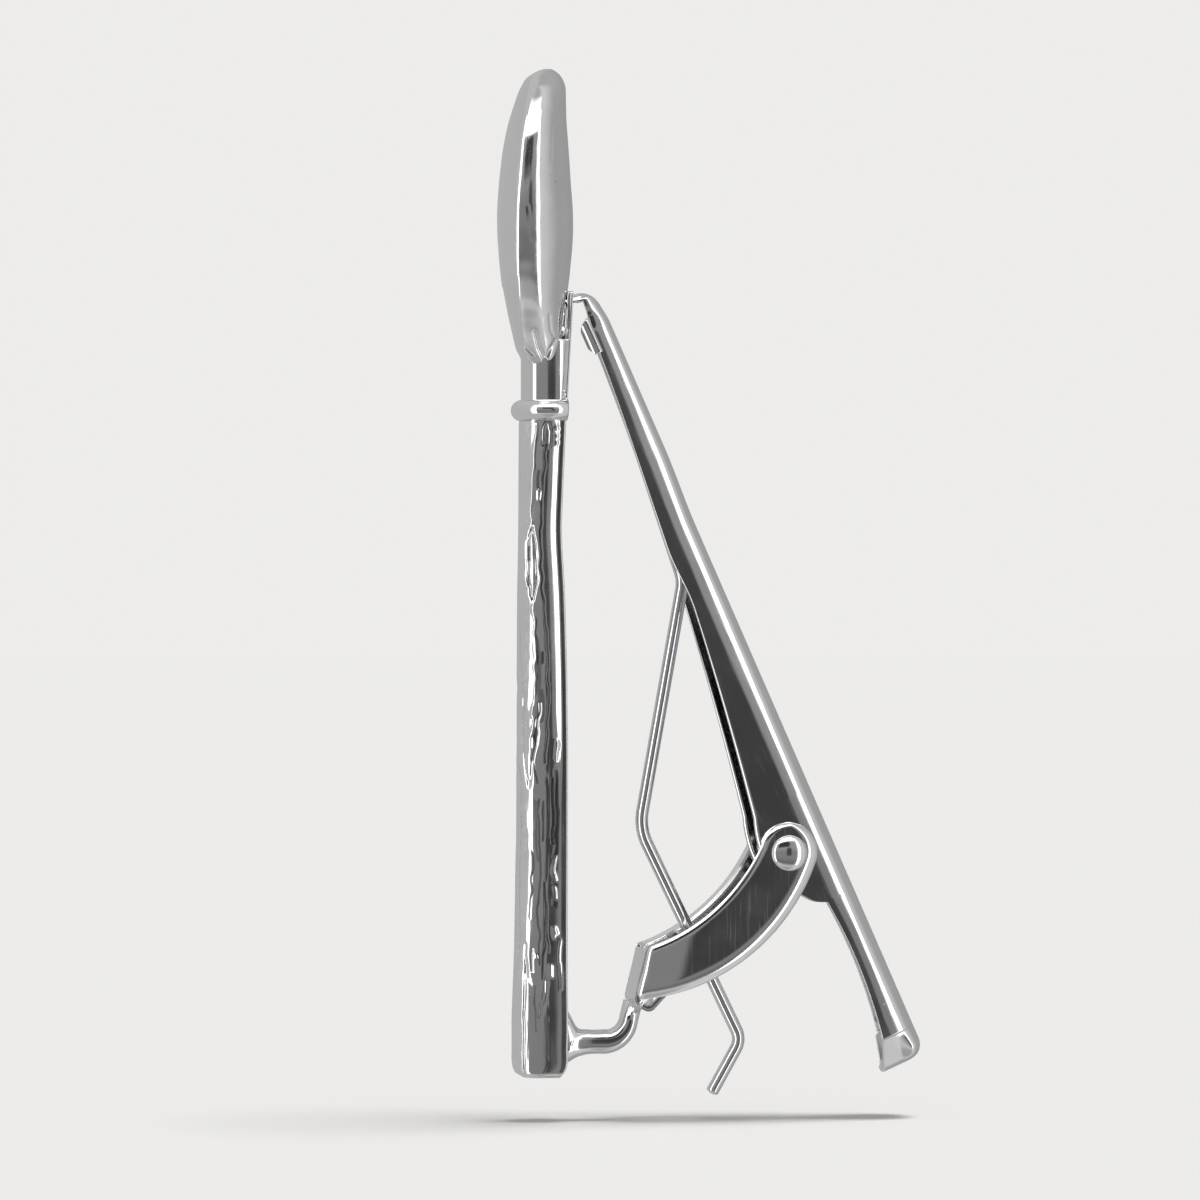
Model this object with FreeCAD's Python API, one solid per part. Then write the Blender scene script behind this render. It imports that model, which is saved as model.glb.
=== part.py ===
"""Tie clip: a cast bar with a rounded head, and a sprung clasp lever on a riveted bracket.

Millimetres, +Z up along the bar towards the head. The origin is the grip point, where the jaw presses
the cloth on the back strip. +X points from the bar to the clasp, and Y is across the clip.
"""
import FreeCAD
import Part
import math
import os

# Driving sizes: the bar
BAR_LENGTH = 60.0
HEAD_ABOVE_GRIP = 13.93
HEAD_LENGTH = 17.9
HEAD_WIDTH = 9.0
HEAD_FRONT = 4.10
NECK_RADIUS = 1.60
NECK_FRONT = 2.95
COLLAR_TOP_DEPTH = 5.80
COLLAR_HEIGHT = 1.25
COLLAR_STAND = 0.62
SHAFT_FRONT = 3.20
SHAFT_BACK = 0.36
SHAFT_BACK_EDGE = 0.35
SHAFT_BACK_WIDTH = 2.70

# Driving sizes: the flat strip behind the head
STRIP_THICKNESS = 0.36
STRIP_WIDTH = 2.50
STRIP_ABOVE_GRIP = 0.65
STRIP_LEAN = 3.2
STRIP_TIP_ROUND = 0.15

# Driving sizes: the hinge bracket and its rivet
PIVOT_REACH = 12.78
PIVOT_ABOVE_FOOT = 13.32
BRACKET_WIDTH = 5.20
BRACKET_SHEET = 0.38
BRACKET_BEND = 0.50
EAR_END_RADIUS = 1.64
EAR_OUTER_ANGLE = -10.0
EAR_INNER_ANGLE = 165.0
EAR_OUTER_SAG = 2.12
EAR_INNER_SAG = 0.98
WEB_FROM_PIVOT = 8.56
WEB_BELOW_PIVOT = 5.68
WEB_LENGTH = 3.35
WEB_LEAN = 13.3
WEB_LIP = 0.35
TONGUE_WIDTH = 1.90
TONGUE_REACH = 0.95
TONGUE_DIP = 0.55
TONGUE_RISE = 47.0
RIVET_RADIUS = 0.60
RIVET_HEAD_RADIUS = 1.06
RIVET_DOME_RADIUS = 1.49

# Driving sizes: the lever, along its own axes from the pivot
LEVER_SHEET = 0.36
CROWN_HEIGHT = 3.05
JAW_SHOULDER = 1.00
MIDDLE_SHOULDER = 1.65
PIVOT_SHOULDER = 1.38
MIDDLE_FROM_PIVOT = 14.0
THUMB_REACH = 14.50
THUMB_DEPTH = 2.98
THUMB_LENGTH = 1.22
THUMB_NOTCH = 1.10
THUMB_CORNER = 0.95
TAIL_DEPTH = 1.60
TAIL_ROOT = 3.65
EAR_BELLY = 1.32
EAR_TOE_DEPTH = 1.05
EAR_BELLY_SWELL = 0.32
EAR_HEEL = 1.50
EAR_TOE = 2.69
FLANGE_SAG = 0.55
JAW_WIDTH = 2.20
JAW_DEPTH = 1.07
JAW_LIP = 1.48
JAW_LIP_SHEET = 0.42
JAW_RAKE = 0.25
JAW_BEND = 0.70
JAW_CORNER = 0.35
TAPER_END = 3.00
TAPER_BLEND = 90.0
CRIMP_LENGTH = 2.40
CRIMP_FROM_JAW = 1.80
CRIMP_SPLIT = 0.10

# Driving sizes: the spring wire, its corners given from the pivot
WIRE_RADIUS = 0.38
WIRE_SEAT_DEPTH = 0.78
WIRE_ENTRY_RUN = 0.50
WIRE_LEAVES = (-6.00, 16.21)
WIRE_KNEE = (-8.62, 1.45)
WIRE_HEEL = (-2.50, -11.23)
WIRE_END = (-4.20, -14.28)
WIRE_ENTRY_BEND = 4.00
WIRE_LEAVE_BEND = 2.20
WIRE_KNEE_BEND = 3.20
WIRE_HEEL_BEND = 1.20

# Driving sizes: the post
POST_HEIGHT = 1.44
POST_WIDTH = 1.90
POST_TIP_HEIGHT = 1.07
POST_BELOW_PIVOT = 11.28
POST_BEND = 1.50

# Clearances
RIVET_RUNNING = 0.05
RIVET_SEAT = 0.01
SIDE_CLEARANCE = 0.10
JAW_CLEARANCE = 0.07
WIRE_CLEARANCE = 0.02

# Head stations, from the top: share of the head's length, share of its half width, share of its front,
# share of its thickness in front of the widest line, and its back's place as a share of its front
HEAD_STATIONS = (
    (0.003, 0.14, 0.410, 0.50, -0.280),
    (0.029, 0.42, 0.625, 0.45, -0.141),
    (0.060, 0.58, 0.700, 0.38, -0.088),
    (0.111, 0.74, 0.775, 0.32, -0.080),
    (0.177, 0.87, 0.855, 0.29, -0.073),
    (0.261, 0.96, 0.922, 0.27, -0.049),
    (0.368, 1.00, 0.970, 0.26, -0.017),
    (0.484, 0.99, 1.000, 0.26, 0.020),
    (0.600, 0.91, 0.985, 0.27, 0.012),
    (0.700, 0.80, 0.950, 0.30, -0.029),
    (0.793, 0.67, 0.885, 0.34, -0.076),
    (0.869, 0.54, 0.820, 0.40, -0.093),
    (0.936, 0.43, 0.755, 0.46, -0.107),
    (0.980, 0.34, 0.650, 0.50, -0.146),
    (1.000, 0.20, 0.500, 0.50, -0.268),
)
HEAD_POINTS = 24
HEAD_FULLNESS = 0.85

# Shaft stations, from the collar down: share of the shaft's length, and how far its front and its back
# lie inside their datum lines, as shares of its front
SHAFT_STATIONS = (
    (0.000, 0.045, 0.029),
    (0.120, 0.035, 0.093),
    (0.166, 0.032, 0.109),
    (0.273, 0.010, 0.048),
    (0.456, 0.000, 0.000),
    (0.610, -0.010, 0.000),
    (0.823, -0.054, 0.006),
    (0.955, -0.096, 0.003),
    (0.986, -0.071, 0.026),
    (1.000, 0.013, 0.135),
)

# Post stations from the shaft outwards: share of the straight run, share of the post's height, of its
# width, and how far the middle lies above the run as a share of the height
POST_STATIONS = (
    (0.00, 2.90, 1.28, 0.45),
    (0.20, 2.10, 1.20, 0.22),
    (0.38, 1.28, 1.08, 0.01),
    (0.66, 1.00, 1.00, 0.00),
    (1.00, 1.00, 1.00, 0.00),
)
POST_TURNS = 3


def vec(x, z, y=0.0):
    """A point of the side view, x across and z up, at depth y."""
    return FreeCAD.Vector(x, y, z)


def unit(degrees):
    return vec(math.cos(math.radians(degrees)), math.sin(math.radians(degrees)))


def line(a, b):
    return Part.LineSegment(a, b).toShape()


def arc(a, middle, b):
    return Part.Arc(a, middle, b).toShape()


def sagged(a, b, sag):
    """The arc from a to b whose middle lies sag to the right of the straight line between them."""
    along = (b - a).normalize()
    return arc(a, (a + b) / 2 + vec(along.z, -along.x) * sag, b)


def polygon(points):
    return [line(a, b) for a, b in zip(points, points[1:] + points[:1])]


def eased(points, radii):
    """Straight runs through the points, with a tangent arc of the given radius at each inner one."""
    edges = []
    start = points[0]
    for before, corner, after, radius in zip(points, points[1:], points[2:], radii):
        back = (before - corner).normalize()
        ahead = (after - corner).normalize()
        half_angle = back.getAngle(ahead) / 2
        cut = radius / math.tan(half_angle)
        middle = corner + (back + ahead).normalize() * (radius / math.sin(half_angle) - radius)
        edges += [line(start, corner + back * cut), arc(corner + back * cut, middle, corner + ahead * cut)]
        start = corner + ahead * cut
    return edges + [line(start, points[-1])]


def plate(edges, width):
    """The closed side outline made into a plate of that width, half of it to each side of the middle."""
    face = Part.Face(Part.Wire(edges))
    face.translate(FreeCAD.Vector(0, -width / 2, 0))
    return face.extrude(FreeCAD.Vector(0, width, 0))


def bar_across(radius, length, centre):
    """A round bar along Y, half of its length to each side of the middle."""
    base = centre - FreeCAD.Vector(0, length / 2, 0)
    return Part.makeCylinder(radius, length, base, FreeCAD.Vector(0, 1, 0))


# Heights and places that several pieces share
FAR = BAR_LENGTH
COLLAR_TOP = -COLLAR_TOP_DEPTH
SHAFT_TOP = COLLAR_TOP - COLLAR_HEIGHT
FOOT = HEAD_ABOVE_GRIP - BAR_LENGTH
NECK_AXIS = NECK_RADIUS - NECK_FRONT
PIVOT = vec(PIVOT_REACH, FOOT + PIVOT_ABOVE_FOOT)
EAR_GAP = BRACKET_WIDTH - 2 * BRACKET_SHEET
LEVER_WIDTH = EAR_GAP - 2 * SIDE_CLEARANCE


def strip_point(z, depth=0.0):
    """A point on the strip's rear face at height z, or that depth in front of it."""
    lean = math.radians(STRIP_LEAN)
    return vec(z * math.tan(lean) - depth / math.cos(lean), z)


def behind(depth, top, low):
    """Everything behind the plane at that depth in the strip, between two heights."""
    high, deep = strip_point(top, depth), strip_point(low, depth)
    return plate(polygon([high, deep, deep + vec(FAR, 0), high + vec(FAR, 0)]), FAR)


def head_section(station):
    """A closed smooth curve across the head: shallow in front, domed behind, rounded at the sides."""
    share, width, front, girdle, back = station
    z = HEAD_ABOVE_GRIP - share * HEAD_LENGTH
    x_front = -HEAD_FRONT * front
    x_back = HEAD_FRONT * back
    x_girdle = x_front + girdle * (x_back - x_front)
    points = []
    for i in range(HEAD_POINTS):
        turn = 2 * math.pi * i / HEAD_POINTS
        fullness = math.copysign(abs(math.sin(turn)) ** HEAD_FULLNESS, math.sin(turn))
        reach = (x_back - x_girdle) if fullness > 0 else (x_girdle - x_front)
        points.append(vec(x_girdle + reach * fullness, z, width * HEAD_WIDTH / 2 * math.cos(turn)))
    curve = Part.BSplineCurve()
    curve.interpolate(points, PeriodicFlag=True)
    return Part.Wire([curve.toShape()])


def make_head():
    """The ornament in one piece with its neck, both cut to seat the strip."""
    ornament = Part.makeLoft([head_section(s) for s in HEAD_STATIONS], True, False)
    neck = Part.makeCylinder(NECK_RADIUS, -SHAFT_TOP, vec(NECK_AXIS, SHAFT_TOP))
    return ornament.fuse(neck).cut(behind(STRIP_THICKNESS, STRIP_ABOVE_GRIP, FOOT))


def make_collar(head):
    """A bead round the neck, cut flat at the back in line with the strip."""
    side = NECK_AXIS - NECK_RADIUS
    top, low = vec(side, COLLAR_TOP), vec(side, SHAFT_TOP)
    proud = vec(side - COLLAR_STAND, (COLLAR_TOP + SHAFT_TOP) / 2)
    core_low, core_top = vec(NECK_AXIS, SHAFT_TOP), vec(NECK_AXIS, COLLAR_TOP)
    edges = [arc(top, proud, low), line(low, core_low), line(core_low, core_top), line(core_top, top)]
    bead = Part.Face(Part.Wire(edges)).revolve(core_low, FreeCAD.Vector(0, 0, 1), 360)
    return bead.cut(behind(0, 0, FOOT)).cut(head)


def make_strip():
    """The thin strip that the jaw presses on, let into the head and lying on the neck's flat."""
    corners = [strip_point(STRIP_ABOVE_GRIP), strip_point(COLLAR_TOP)]
    corners += [strip_point(COLLAR_TOP, STRIP_THICKNESS), strip_point(STRIP_ABOVE_GRIP, STRIP_THICKNESS)]
    strip = plate(polygon(corners), STRIP_WIDTH)
    crest = corners[0] - FreeCAD.Vector(0, STRIP_WIDTH / 2, 0)
    top_edge = [e for e in strip.Edges if all(abs((v.Point - crest).dot(unit(0))) < STRIP_THICKNESS / 2
                                             and v.Z > 0 for v in e.Vertexes)]
    return strip.makeFillet(STRIP_TIP_ROUND, top_edge)


def shaft_section(station):
    """A horseshoe: a round front that draws in to two short straight sides and a flat back."""
    share, front_in, back_in = station
    z = SHAFT_TOP + share * (FOOT - SHAFT_TOP)
    x_back = -SHAFT_BACK - back_in * SHAFT_FRONT
    half = SHAFT_BACK_WIDTH / 2
    left, right = vec(x_back, z, -half), vec(x_back, z, half)
    inward = vec(-SHAFT_BACK_EDGE, 0)
    edges = [line(left, right), line(right, right + inward)]
    edges += [arc(right + inward, vec((front_in - 1) * SHAFT_FRONT, z), left + inward), line(left + inward, left)]
    return Part.Wire(edges)


def make_shaft():
    return Part.makeLoft([shaft_section(s) for s in SHAFT_STATIONS], True, False)


# The bracket's web runs down from its top corner and leans towards the bar
WEB_DOWN = unit(-90 - WEB_LEAN)
WEB_IN = unit(-WEB_LEAN)
WEB_TOP = PIVOT - vec(WEB_FROM_PIVOT, WEB_BELOW_PIVOT)
WEB_LOW = WEB_TOP + WEB_DOWN * WEB_LENGTH
EAR_LOW = WEB_LOW - WEB_DOWN * WEB_LIP


def lever_frame():
    """The lever's reach to its jaw and its lean, from where the pivot and the grip point lie."""
    jaw_height = CROWN_HEIGHT - JAW_LIP
    to_grip = vec(JAW_CLEARANCE, 0) - PIVOT
    reach = math.sqrt(to_grip.Length ** 2 - jaw_height ** 2)
    lean = math.atan2(to_grip.z, to_grip.x) + math.pi / 2 - math.atan2(jaw_height, -reach)
    return reach, lean


JAW_REACH, LEVER_LEAN = lever_frame()
JAW_END = -JAW_REACH - JAW_LIP_SHEET
CRIMP_START = CRIMP_FROM_JAW - JAW_REACH
CRIMP_END = CRIMP_START + CRIMP_LENGTH


def lever_point(s, n):
    """The place of a point s along the lever from the pivot to the thumb, and n towards its crown."""
    along = vec(math.sin(LEVER_LEAN), -math.cos(LEVER_LEAN))
    out = vec(math.cos(LEVER_LEAN), math.sin(LEVER_LEAN))
    return PIVOT + along * s + out * n


WIRE_SEAT = CROWN_HEIGHT - WIRE_SEAT_DEPTH
WIRE_CORNERS = (
    lever_point(CRIMP_START, WIRE_SEAT),
    lever_point(CRIMP_END + WIRE_ENTRY_RUN, WIRE_SEAT),
    PIVOT + vec(*WIRE_LEAVES),
    PIVOT + vec(*WIRE_KNEE),
    PIVOT + vec(*WIRE_HEEL),
    PIVOT + vec(*WIRE_END),
)
WIRE_BENDS = (WIRE_ENTRY_BEND, WIRE_LEAVE_BEND, WIRE_KNEE_BEND, WIRE_HEEL_BEND)


def make_wire():
    """One bent wire: held by the crimp at the jaw, resting on the tongue, and hooked at its free end."""
    route = Part.Wire(eased(WIRE_CORNERS, WIRE_BENDS))
    heading = (WIRE_CORNERS[1] - WIRE_CORNERS[0]).normalize()
    section = Part.Wire([Part.makeCircle(WIRE_RADIUS, WIRE_CORNERS[0], heading)])
    wire = route.makePipeShell([section], True, False)
    expected = math.pi * WIRE_RADIUS ** 2 * route.Length
    print(f"wire {route.Length:.2f} mm long, volume {wire.Volume:.3f} of {expected:.3f} mm3")
    return wire


def tongue_line():
    """Middle line of the tongue: from the web's foot it dips, then rises to just short of the wire."""
    root = WEB_LOW + (WEB_IN - WEB_DOWN) * (BRACKET_SHEET / 2)
    dip = root + vec(TONGUE_REACH, -TONGUE_DIP)
    rise = unit(TONGUE_RISE)
    run = (WIRE_CORNERS[4] - WIRE_CORNERS[3]).normalize()
    to_wire = vec(-run.z, run.x)
    distance = (WIRE_CORNERS[3] - dip).dot(to_wire)
    half_end = abs(rise.dot(run)) * BRACKET_SHEET / 2
    reach = (distance - WIRE_RADIUS - WIRE_CLEARANCE - half_end) / rise.dot(to_wire)
    return root, dip, dip + rise * reach


def band(a, corner, b, thickness):
    """The outline of a strip of even thickness along two straight runs."""
    first, second = (corner - a).normalize(), (b - corner).normalize()
    side_a = vec(-first.z, first.x) * (thickness / 2)
    side_b = vec(-second.z, second.x) * (thickness / 2)
    mitre = (side_a + side_b).normalize()
    mitre = mitre * ((thickness / 2) ** 2 / mitre.dot(side_a))
    return [a + side_a, corner + mitre, b + side_b, b - side_b, corner - mitre, a - side_a]


def is_fold(edge):
    """True for the two edges where the ears fold away from the web."""
    ends = [v.Point for v in edge.Vertexes]
    on_web = all(abs((p - WEB_TOP).dot(WEB_IN)) < BRACKET_SHEET / 2 for p in ends)
    return on_web and abs(ends[0].y - ends[1].y) < BRACKET_SHEET


def make_bracket():
    """Folded sheet: a web at the post, two curved ears for the rivet, and a tongue for the wire."""
    inner_end = PIVOT + unit(EAR_INNER_ANGLE) * EAR_END_RADIUS
    outer_end = PIVOT + unit(EAR_OUTER_ANGLE) * EAR_END_RADIUS
    nose = PIVOT + unit((EAR_OUTER_ANGLE + EAR_INNER_ANGLE) / 2) * EAR_END_RADIUS
    ears = [line(EAR_LOW, WEB_TOP), sagged(WEB_TOP, inner_end, EAR_INNER_SAG)]
    ears += [arc(inner_end, nose, outer_end), sagged(outer_end, EAR_LOW, -EAR_OUTER_SAG)]
    block = plate(ears, BRACKET_WIDTH)
    block = block.makeFillet(BRACKET_BEND, [e for e in block.Edges if is_fold(e)])
    inside = WEB_TOP + WEB_IN * BRACKET_SHEET
    hollow = [inside - WEB_DOWN * FAR, inside + WEB_DOWN * FAR]
    hollow += [hollow[1] + vec(FAR, 0), hollow[0] + vec(FAR, 0)]
    folded = block.cut(plate(polygon(hollow), EAR_GAP))
    through = WEB_IN * BRACKET_SHEET
    high = EAR_LOW - WEB_DOWN * WEB_LIP
    lip = plate(polygon([high, WEB_LOW, WEB_LOW + through, high + through]), BRACKET_WIDTH - 2 * BRACKET_BEND)
    tongue = plate(polygon(band(*tongue_line(), BRACKET_SHEET)), TONGUE_WIDTH)
    bore = bar_across(RIVET_RADIUS + RIVET_SEAT, 2 * BRACKET_WIDTH, PIVOT)
    return folded.fuse([lip, tongue]).cut(bore).removeSplitter()


def make_rivet():
    """A pin with a domed head outside each ear, turned in one piece about the hinge line."""
    seat = BRACKET_WIDTH / 2 + RIVET_SEAT
    middle = seat - math.sqrt(RIVET_DOME_RADIUS ** 2 - RIVET_HEAD_RADIUS ** 2)
    half_angle = math.asin(RIVET_HEAD_RADIUS / RIVET_DOME_RADIUS) / 2
    crown = middle + RIVET_DOME_RADIUS
    brow = middle + RIVET_DOME_RADIUS * math.cos(half_angle)
    shoulder = RIVET_DOME_RADIUS * math.sin(half_angle)

    def at(radius, y):
        return PIVOT + FreeCAD.Vector(radius, y, 0)

    edges = [line(at(0, -crown), at(0, crown))]
    edges += [arc(at(0, crown), at(shoulder, brow), at(RIVET_HEAD_RADIUS, seat))]
    edges += [line(at(RIVET_HEAD_RADIUS, seat), at(RIVET_RADIUS, seat))]
    edges += [line(at(RIVET_RADIUS, seat), at(RIVET_RADIUS, -seat))]
    edges += [line(at(RIVET_RADIUS, -seat), at(RIVET_HEAD_RADIUS, -seat))]
    edges += [arc(at(RIVET_HEAD_RADIUS, -seat), at(shoulder, -brow), at(0, -crown))]
    return Part.Face(Part.Wire(edges)).revolve(PIVOT, FreeCAD.Vector(0, 1, 0), 360)


def half_width(s):
    """Half of the lever's width at s: parallel from the thumb past the pivot, tapering to the jaw."""
    taper = (LEVER_WIDTH - JAW_WIDTH) / 2 / (-TAPER_END - JAW_END)
    return LEVER_WIDTH / 2 + min(0.0, s + TAPER_END) * taper


def channel(inset):
    """The lever's arched cross section carried along it, that far in from its skin."""
    stations = (
        (JAW_END - JAW_LIP_SHEET, JAW_SHOULDER),
        (-MIDDLE_FROM_PIVOT, MIDDLE_SHOULDER),
        (-TAPER_END, PIVOT_SHOULDER),
        (THUMB_REACH + CROWN_HEIGHT, PIVOT_SHOULDER),
    )
    sections = []
    for s, shoulder in stations:
        half, top, bend = half_width(s) - inset, CROWN_HEIGHT - inset, shoulder - inset
        skin = [vec(s, 0, -half), vec(s, top, -half), vec(s, top, half), vec(s, 0, half)]
        deep = [vec(s, -top, half), vec(s, -top, -half)]
        edges = eased(skin, (bend, bend)) + [line(skin[3], deep[0]), line(*deep), line(deep[1], skin[0])]
        sections.append(Part.Wire(edges))
    return Part.makeLoft(sections, True, True)


def lever_ends():
    """A tall block with the lever's plan, rounded at the corners of its thumb end and of its jaw."""
    half, tip = half_width(0), half_width(JAW_END)
    plan = [vec(JAW_END, 0), vec(JAW_END, 0, tip), vec(-TAPER_END, 0, half), vec(THUMB_REACH, 0, half)]
    plan += [vec(THUMB_REACH, 0, -half), vec(-TAPER_END, 0, -half), vec(JAW_END, 0, -tip), vec(JAW_END, 0)]
    radii = (JAW_CORNER, TAPER_BLEND, PIVOT_SHOULDER, PIVOT_SHOULDER, TAPER_BLEND, JAW_CORNER)
    face = Part.Face(Part.Wire(eased(plan, radii)))
    face.translate(vec(0, -CROWN_HEIGHT))
    return face.extrude(vec(0, 3 * CROWN_HEIGHT))


def lever_block():
    """The lever as if it were solid: its side outline, its cross section and its plan in one."""
    jaw_edge = CROWN_HEIGHT - JAW_DEPTH
    lip_low = CROWN_HEIGHT - JAW_LIP - JAW_LIP_SHEET
    thumb_low = CROWN_HEIGHT - THUMB_DEPTH
    tip_foot, tip_top = vec(JAW_END, lip_low), vec(JAW_END + JAW_RAKE, CROWN_HEIGHT)
    thumb_top, thumb_foot = vec(THUMB_REACH, CROWN_HEIGHT), vec(THUMB_REACH, thumb_low)
    notch_foot = vec(THUMB_REACH - THUMB_LENGTH, thumb_low + THUMB_CORNER / 2)
    notch_top = vec(notch_foot.x, thumb_low + THUMB_NOTCH)
    tail = vec(TAIL_ROOT, CROWN_HEIGHT - TAIL_DEPTH)
    heel, toe = vec(EAR_HEEL, -EAR_BELLY), vec(-EAR_TOE, -EAR_TOE_DEPTH)
    flange, throat = vec(CRIMP_START, jaw_edge), vec(-JAW_REACH, jaw_edge)
    lip_foot = vec(-JAW_REACH, lip_low)
    edges = eased([tip_foot, tip_top, thumb_top, thumb_foot], (JAW_BEND, THUMB_CORNER))
    edges += [line(thumb_foot, notch_foot), line(notch_foot, notch_top)]
    edges += [sagged(notch_top, tail, THUMB_NOTCH / 3), sagged(tail, heel, -EAR_BELLY_SWELL)]
    edges += [sagged(heel, toe, -EAR_BELLY_SWELL), sagged(toe, flange, FLANGE_SAG)]
    edges += [line(flange, throat), line(throat, lip_foot), line(lip_foot, tip_foot)]
    return plate(edges, 2 * LEVER_WIDTH).common(channel(0)).common(lever_ends())


def lever_hollow():
    """The inside of the channel, one sheet in from the crown, the sides, the jaw lip and the thumb's end."""
    near, far = vec(-JAW_REACH, 2 * CROWN_HEIGHT), vec(THUMB_REACH - LEVER_SHEET, 2 * CROWN_HEIGHT)
    span = plate(polygon([near, far, vec(far.x, -near.z), vec(near.x, -near.z)]), 2 * LEVER_WIDTH)
    return channel(LEVER_SHEET).common(span)


def make_crimp():
    """Two tabs folded from the sides under the wire, meeting at a fine split."""
    half = half_width(CRIMP_START)
    top = CROWN_HEIGHT - JAW_DEPTH + LEVER_SHEET / 2
    seat = WIRE_SEAT - WIRE_RADIUS - WIRE_CLEARANCE
    shells = []
    for reach, bottom in ((half, seat - LEVER_SHEET), (half - LEVER_SHEET, seat)):
        left, right = vec(CRIMP_START, top, -reach), vec(CRIMP_START, top, reach)
        face = Part.Face(Part.Wire([arc(left, vec(CRIMP_START, bottom), right), line(right, left)]))
        shells.append(face.extrude(vec(CRIMP_LENGTH, 0)))
    split = Part.makeBox(CRIMP_LENGTH, CRIMP_SPLIT, CROWN_HEIGHT)
    split.translate(FreeCAD.Vector(CRIMP_START, -CRIMP_SPLIT / 2, -LEVER_SHEET))
    return shells[0].cut([shells[1], split])


def make_lever():
    """A pressed channel: jaw lip, crimp tabs, tapering sides, pivot ears, tail and closed thumb end."""
    shell = lever_block().cut(lever_hollow()).fuse(make_crimp())
    bore = bar_across(RIVET_RADIUS + RIVET_RUNNING, 2 * BRACKET_WIDTH, vec(0, 0))
    lever = shell.cut(bore).removeSplitter()
    turn = FreeCAD.Rotation(FreeCAD.Vector(0, 1, 0), 90 - math.degrees(LEVER_LEAN))
    lever.Placement = FreeCAD.Placement(PIVOT, turn)
    high, deep = strip_point(FAR, -JAW_CLEARANCE), strip_point(FOOT, -JAW_CLEARANCE)
    return lever.cut(plate(polygon([high, high - vec(FAR, 0), deep - vec(FAR, 0), deep]), FAR))


def post_section(centre, heading, height, width):
    """An oval across the post at that point of its middle line."""
    upper = centre + vec(-heading.z, heading.x) * (height / 2)
    side = centre + FreeCAD.Vector(0, width / 2, 0)
    oval = Part.Ellipse(side, upper, centre) if width > height else Part.Ellipse(upper, side, centre)
    return Part.Wire([oval.toShape()])


def make_post(shaft, bracket):
    """A tapering oval foot: out from the shaft, round a bend and up to the foot of the web."""
    end = WEB_LOW + WEB_IN * (BRACKET_SHEET * 0.75) - WEB_DOWN * (BRACKET_SHEET / 4)
    run = vec(1, 0)
    corner = end + WEB_DOWN * ((end.z - PIVOT.z + POST_BELOW_PIVOT) / -WEB_DOWN.z)
    turn = 90 - WEB_LEAN
    bend_start = corner - run * (POST_BEND * math.tan(math.radians(turn) / 2))
    start = vec(-SHAFT_BACK - SHAFT_BACK_EDGE, corner.z)
    sections = []
    for share, tall, wide, lift in POST_STATIONS:
        place = start + (bend_start - start) * share + vec(0, lift * POST_HEIGHT)
        sections.append(post_section(place, run, POST_HEIGHT * tall, POST_WIDTH * wide))
    for step in range(1, POST_TURNS + 1):
        angle = turn * step / POST_TURNS
        place = bend_start + vec(0, POST_BEND) + unit(angle - 90) * POST_BEND
        height = POST_HEIGHT + (POST_TIP_HEIGHT - POST_HEIGHT) * step / POST_TURNS
        sections.append(post_section(place, unit(angle), height, POST_WIDTH))
    sections.append(post_section(end, WEB_DOWN * -1, POST_TIP_HEIGHT, POST_WIDTH))
    return Part.makeLoft(sections, True, False).cut([shaft, bracket])


def build():
    head, shaft, bracket = make_head(), make_shaft(), make_bracket()
    pieces = {
        "head": head,
        "collar": make_collar(head),
        "shaft": shaft,
        "back_strip": make_strip(),
        "post": make_post(shaft, bracket),
        "hinge_bracket": bracket,
        "hinge_rivet": make_rivet(),
        "clasp_lever": make_lever(),
        "spring_wire": make_wire(),
    }
    os.makedirs("parts", exist_ok=True)
    for name, shape in pieces.items():
        box = shape.BoundBox
        print(f"{name}: {len(shape.Solids)} solid, valid {shape.isValid()}, volume {shape.Volume:.2f}, "
              f"x {box.XMin:.2f} to {box.XMax:.2f}, y {box.YMin:.2f} to {box.YMax:.2f}, "
              f"z {box.ZMin:.2f} to {box.ZMax:.2f}")
        shape.exportStep(f"parts/{name}.step")


build()
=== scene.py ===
# %% [markdown]
# # A tie clip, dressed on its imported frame
# A tie clip is a cast bar with a rounded head, and a sprung lever that presses the tie against a thin strip
# behind that head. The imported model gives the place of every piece. Here each piece gets its full form,
# made as a surface on a grid, and its plated finish. All sizes below are millimetres until a mesh is made.

import math

import bmesh
import bpy
import numpy as np
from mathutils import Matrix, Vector


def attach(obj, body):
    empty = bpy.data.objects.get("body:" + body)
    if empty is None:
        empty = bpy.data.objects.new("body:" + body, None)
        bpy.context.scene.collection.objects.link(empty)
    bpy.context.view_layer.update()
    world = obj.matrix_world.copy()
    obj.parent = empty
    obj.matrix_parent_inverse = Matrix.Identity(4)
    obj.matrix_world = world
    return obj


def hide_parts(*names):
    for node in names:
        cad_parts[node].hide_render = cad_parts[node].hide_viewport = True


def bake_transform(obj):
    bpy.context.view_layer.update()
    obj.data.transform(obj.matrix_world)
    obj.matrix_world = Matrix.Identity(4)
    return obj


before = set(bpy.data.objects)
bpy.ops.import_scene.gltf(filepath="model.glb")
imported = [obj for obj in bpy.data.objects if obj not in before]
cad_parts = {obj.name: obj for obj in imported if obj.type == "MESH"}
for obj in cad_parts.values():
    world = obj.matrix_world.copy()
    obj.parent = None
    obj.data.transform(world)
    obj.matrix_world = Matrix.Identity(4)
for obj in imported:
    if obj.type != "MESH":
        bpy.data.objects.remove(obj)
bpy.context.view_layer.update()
MM = 0.001
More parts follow.
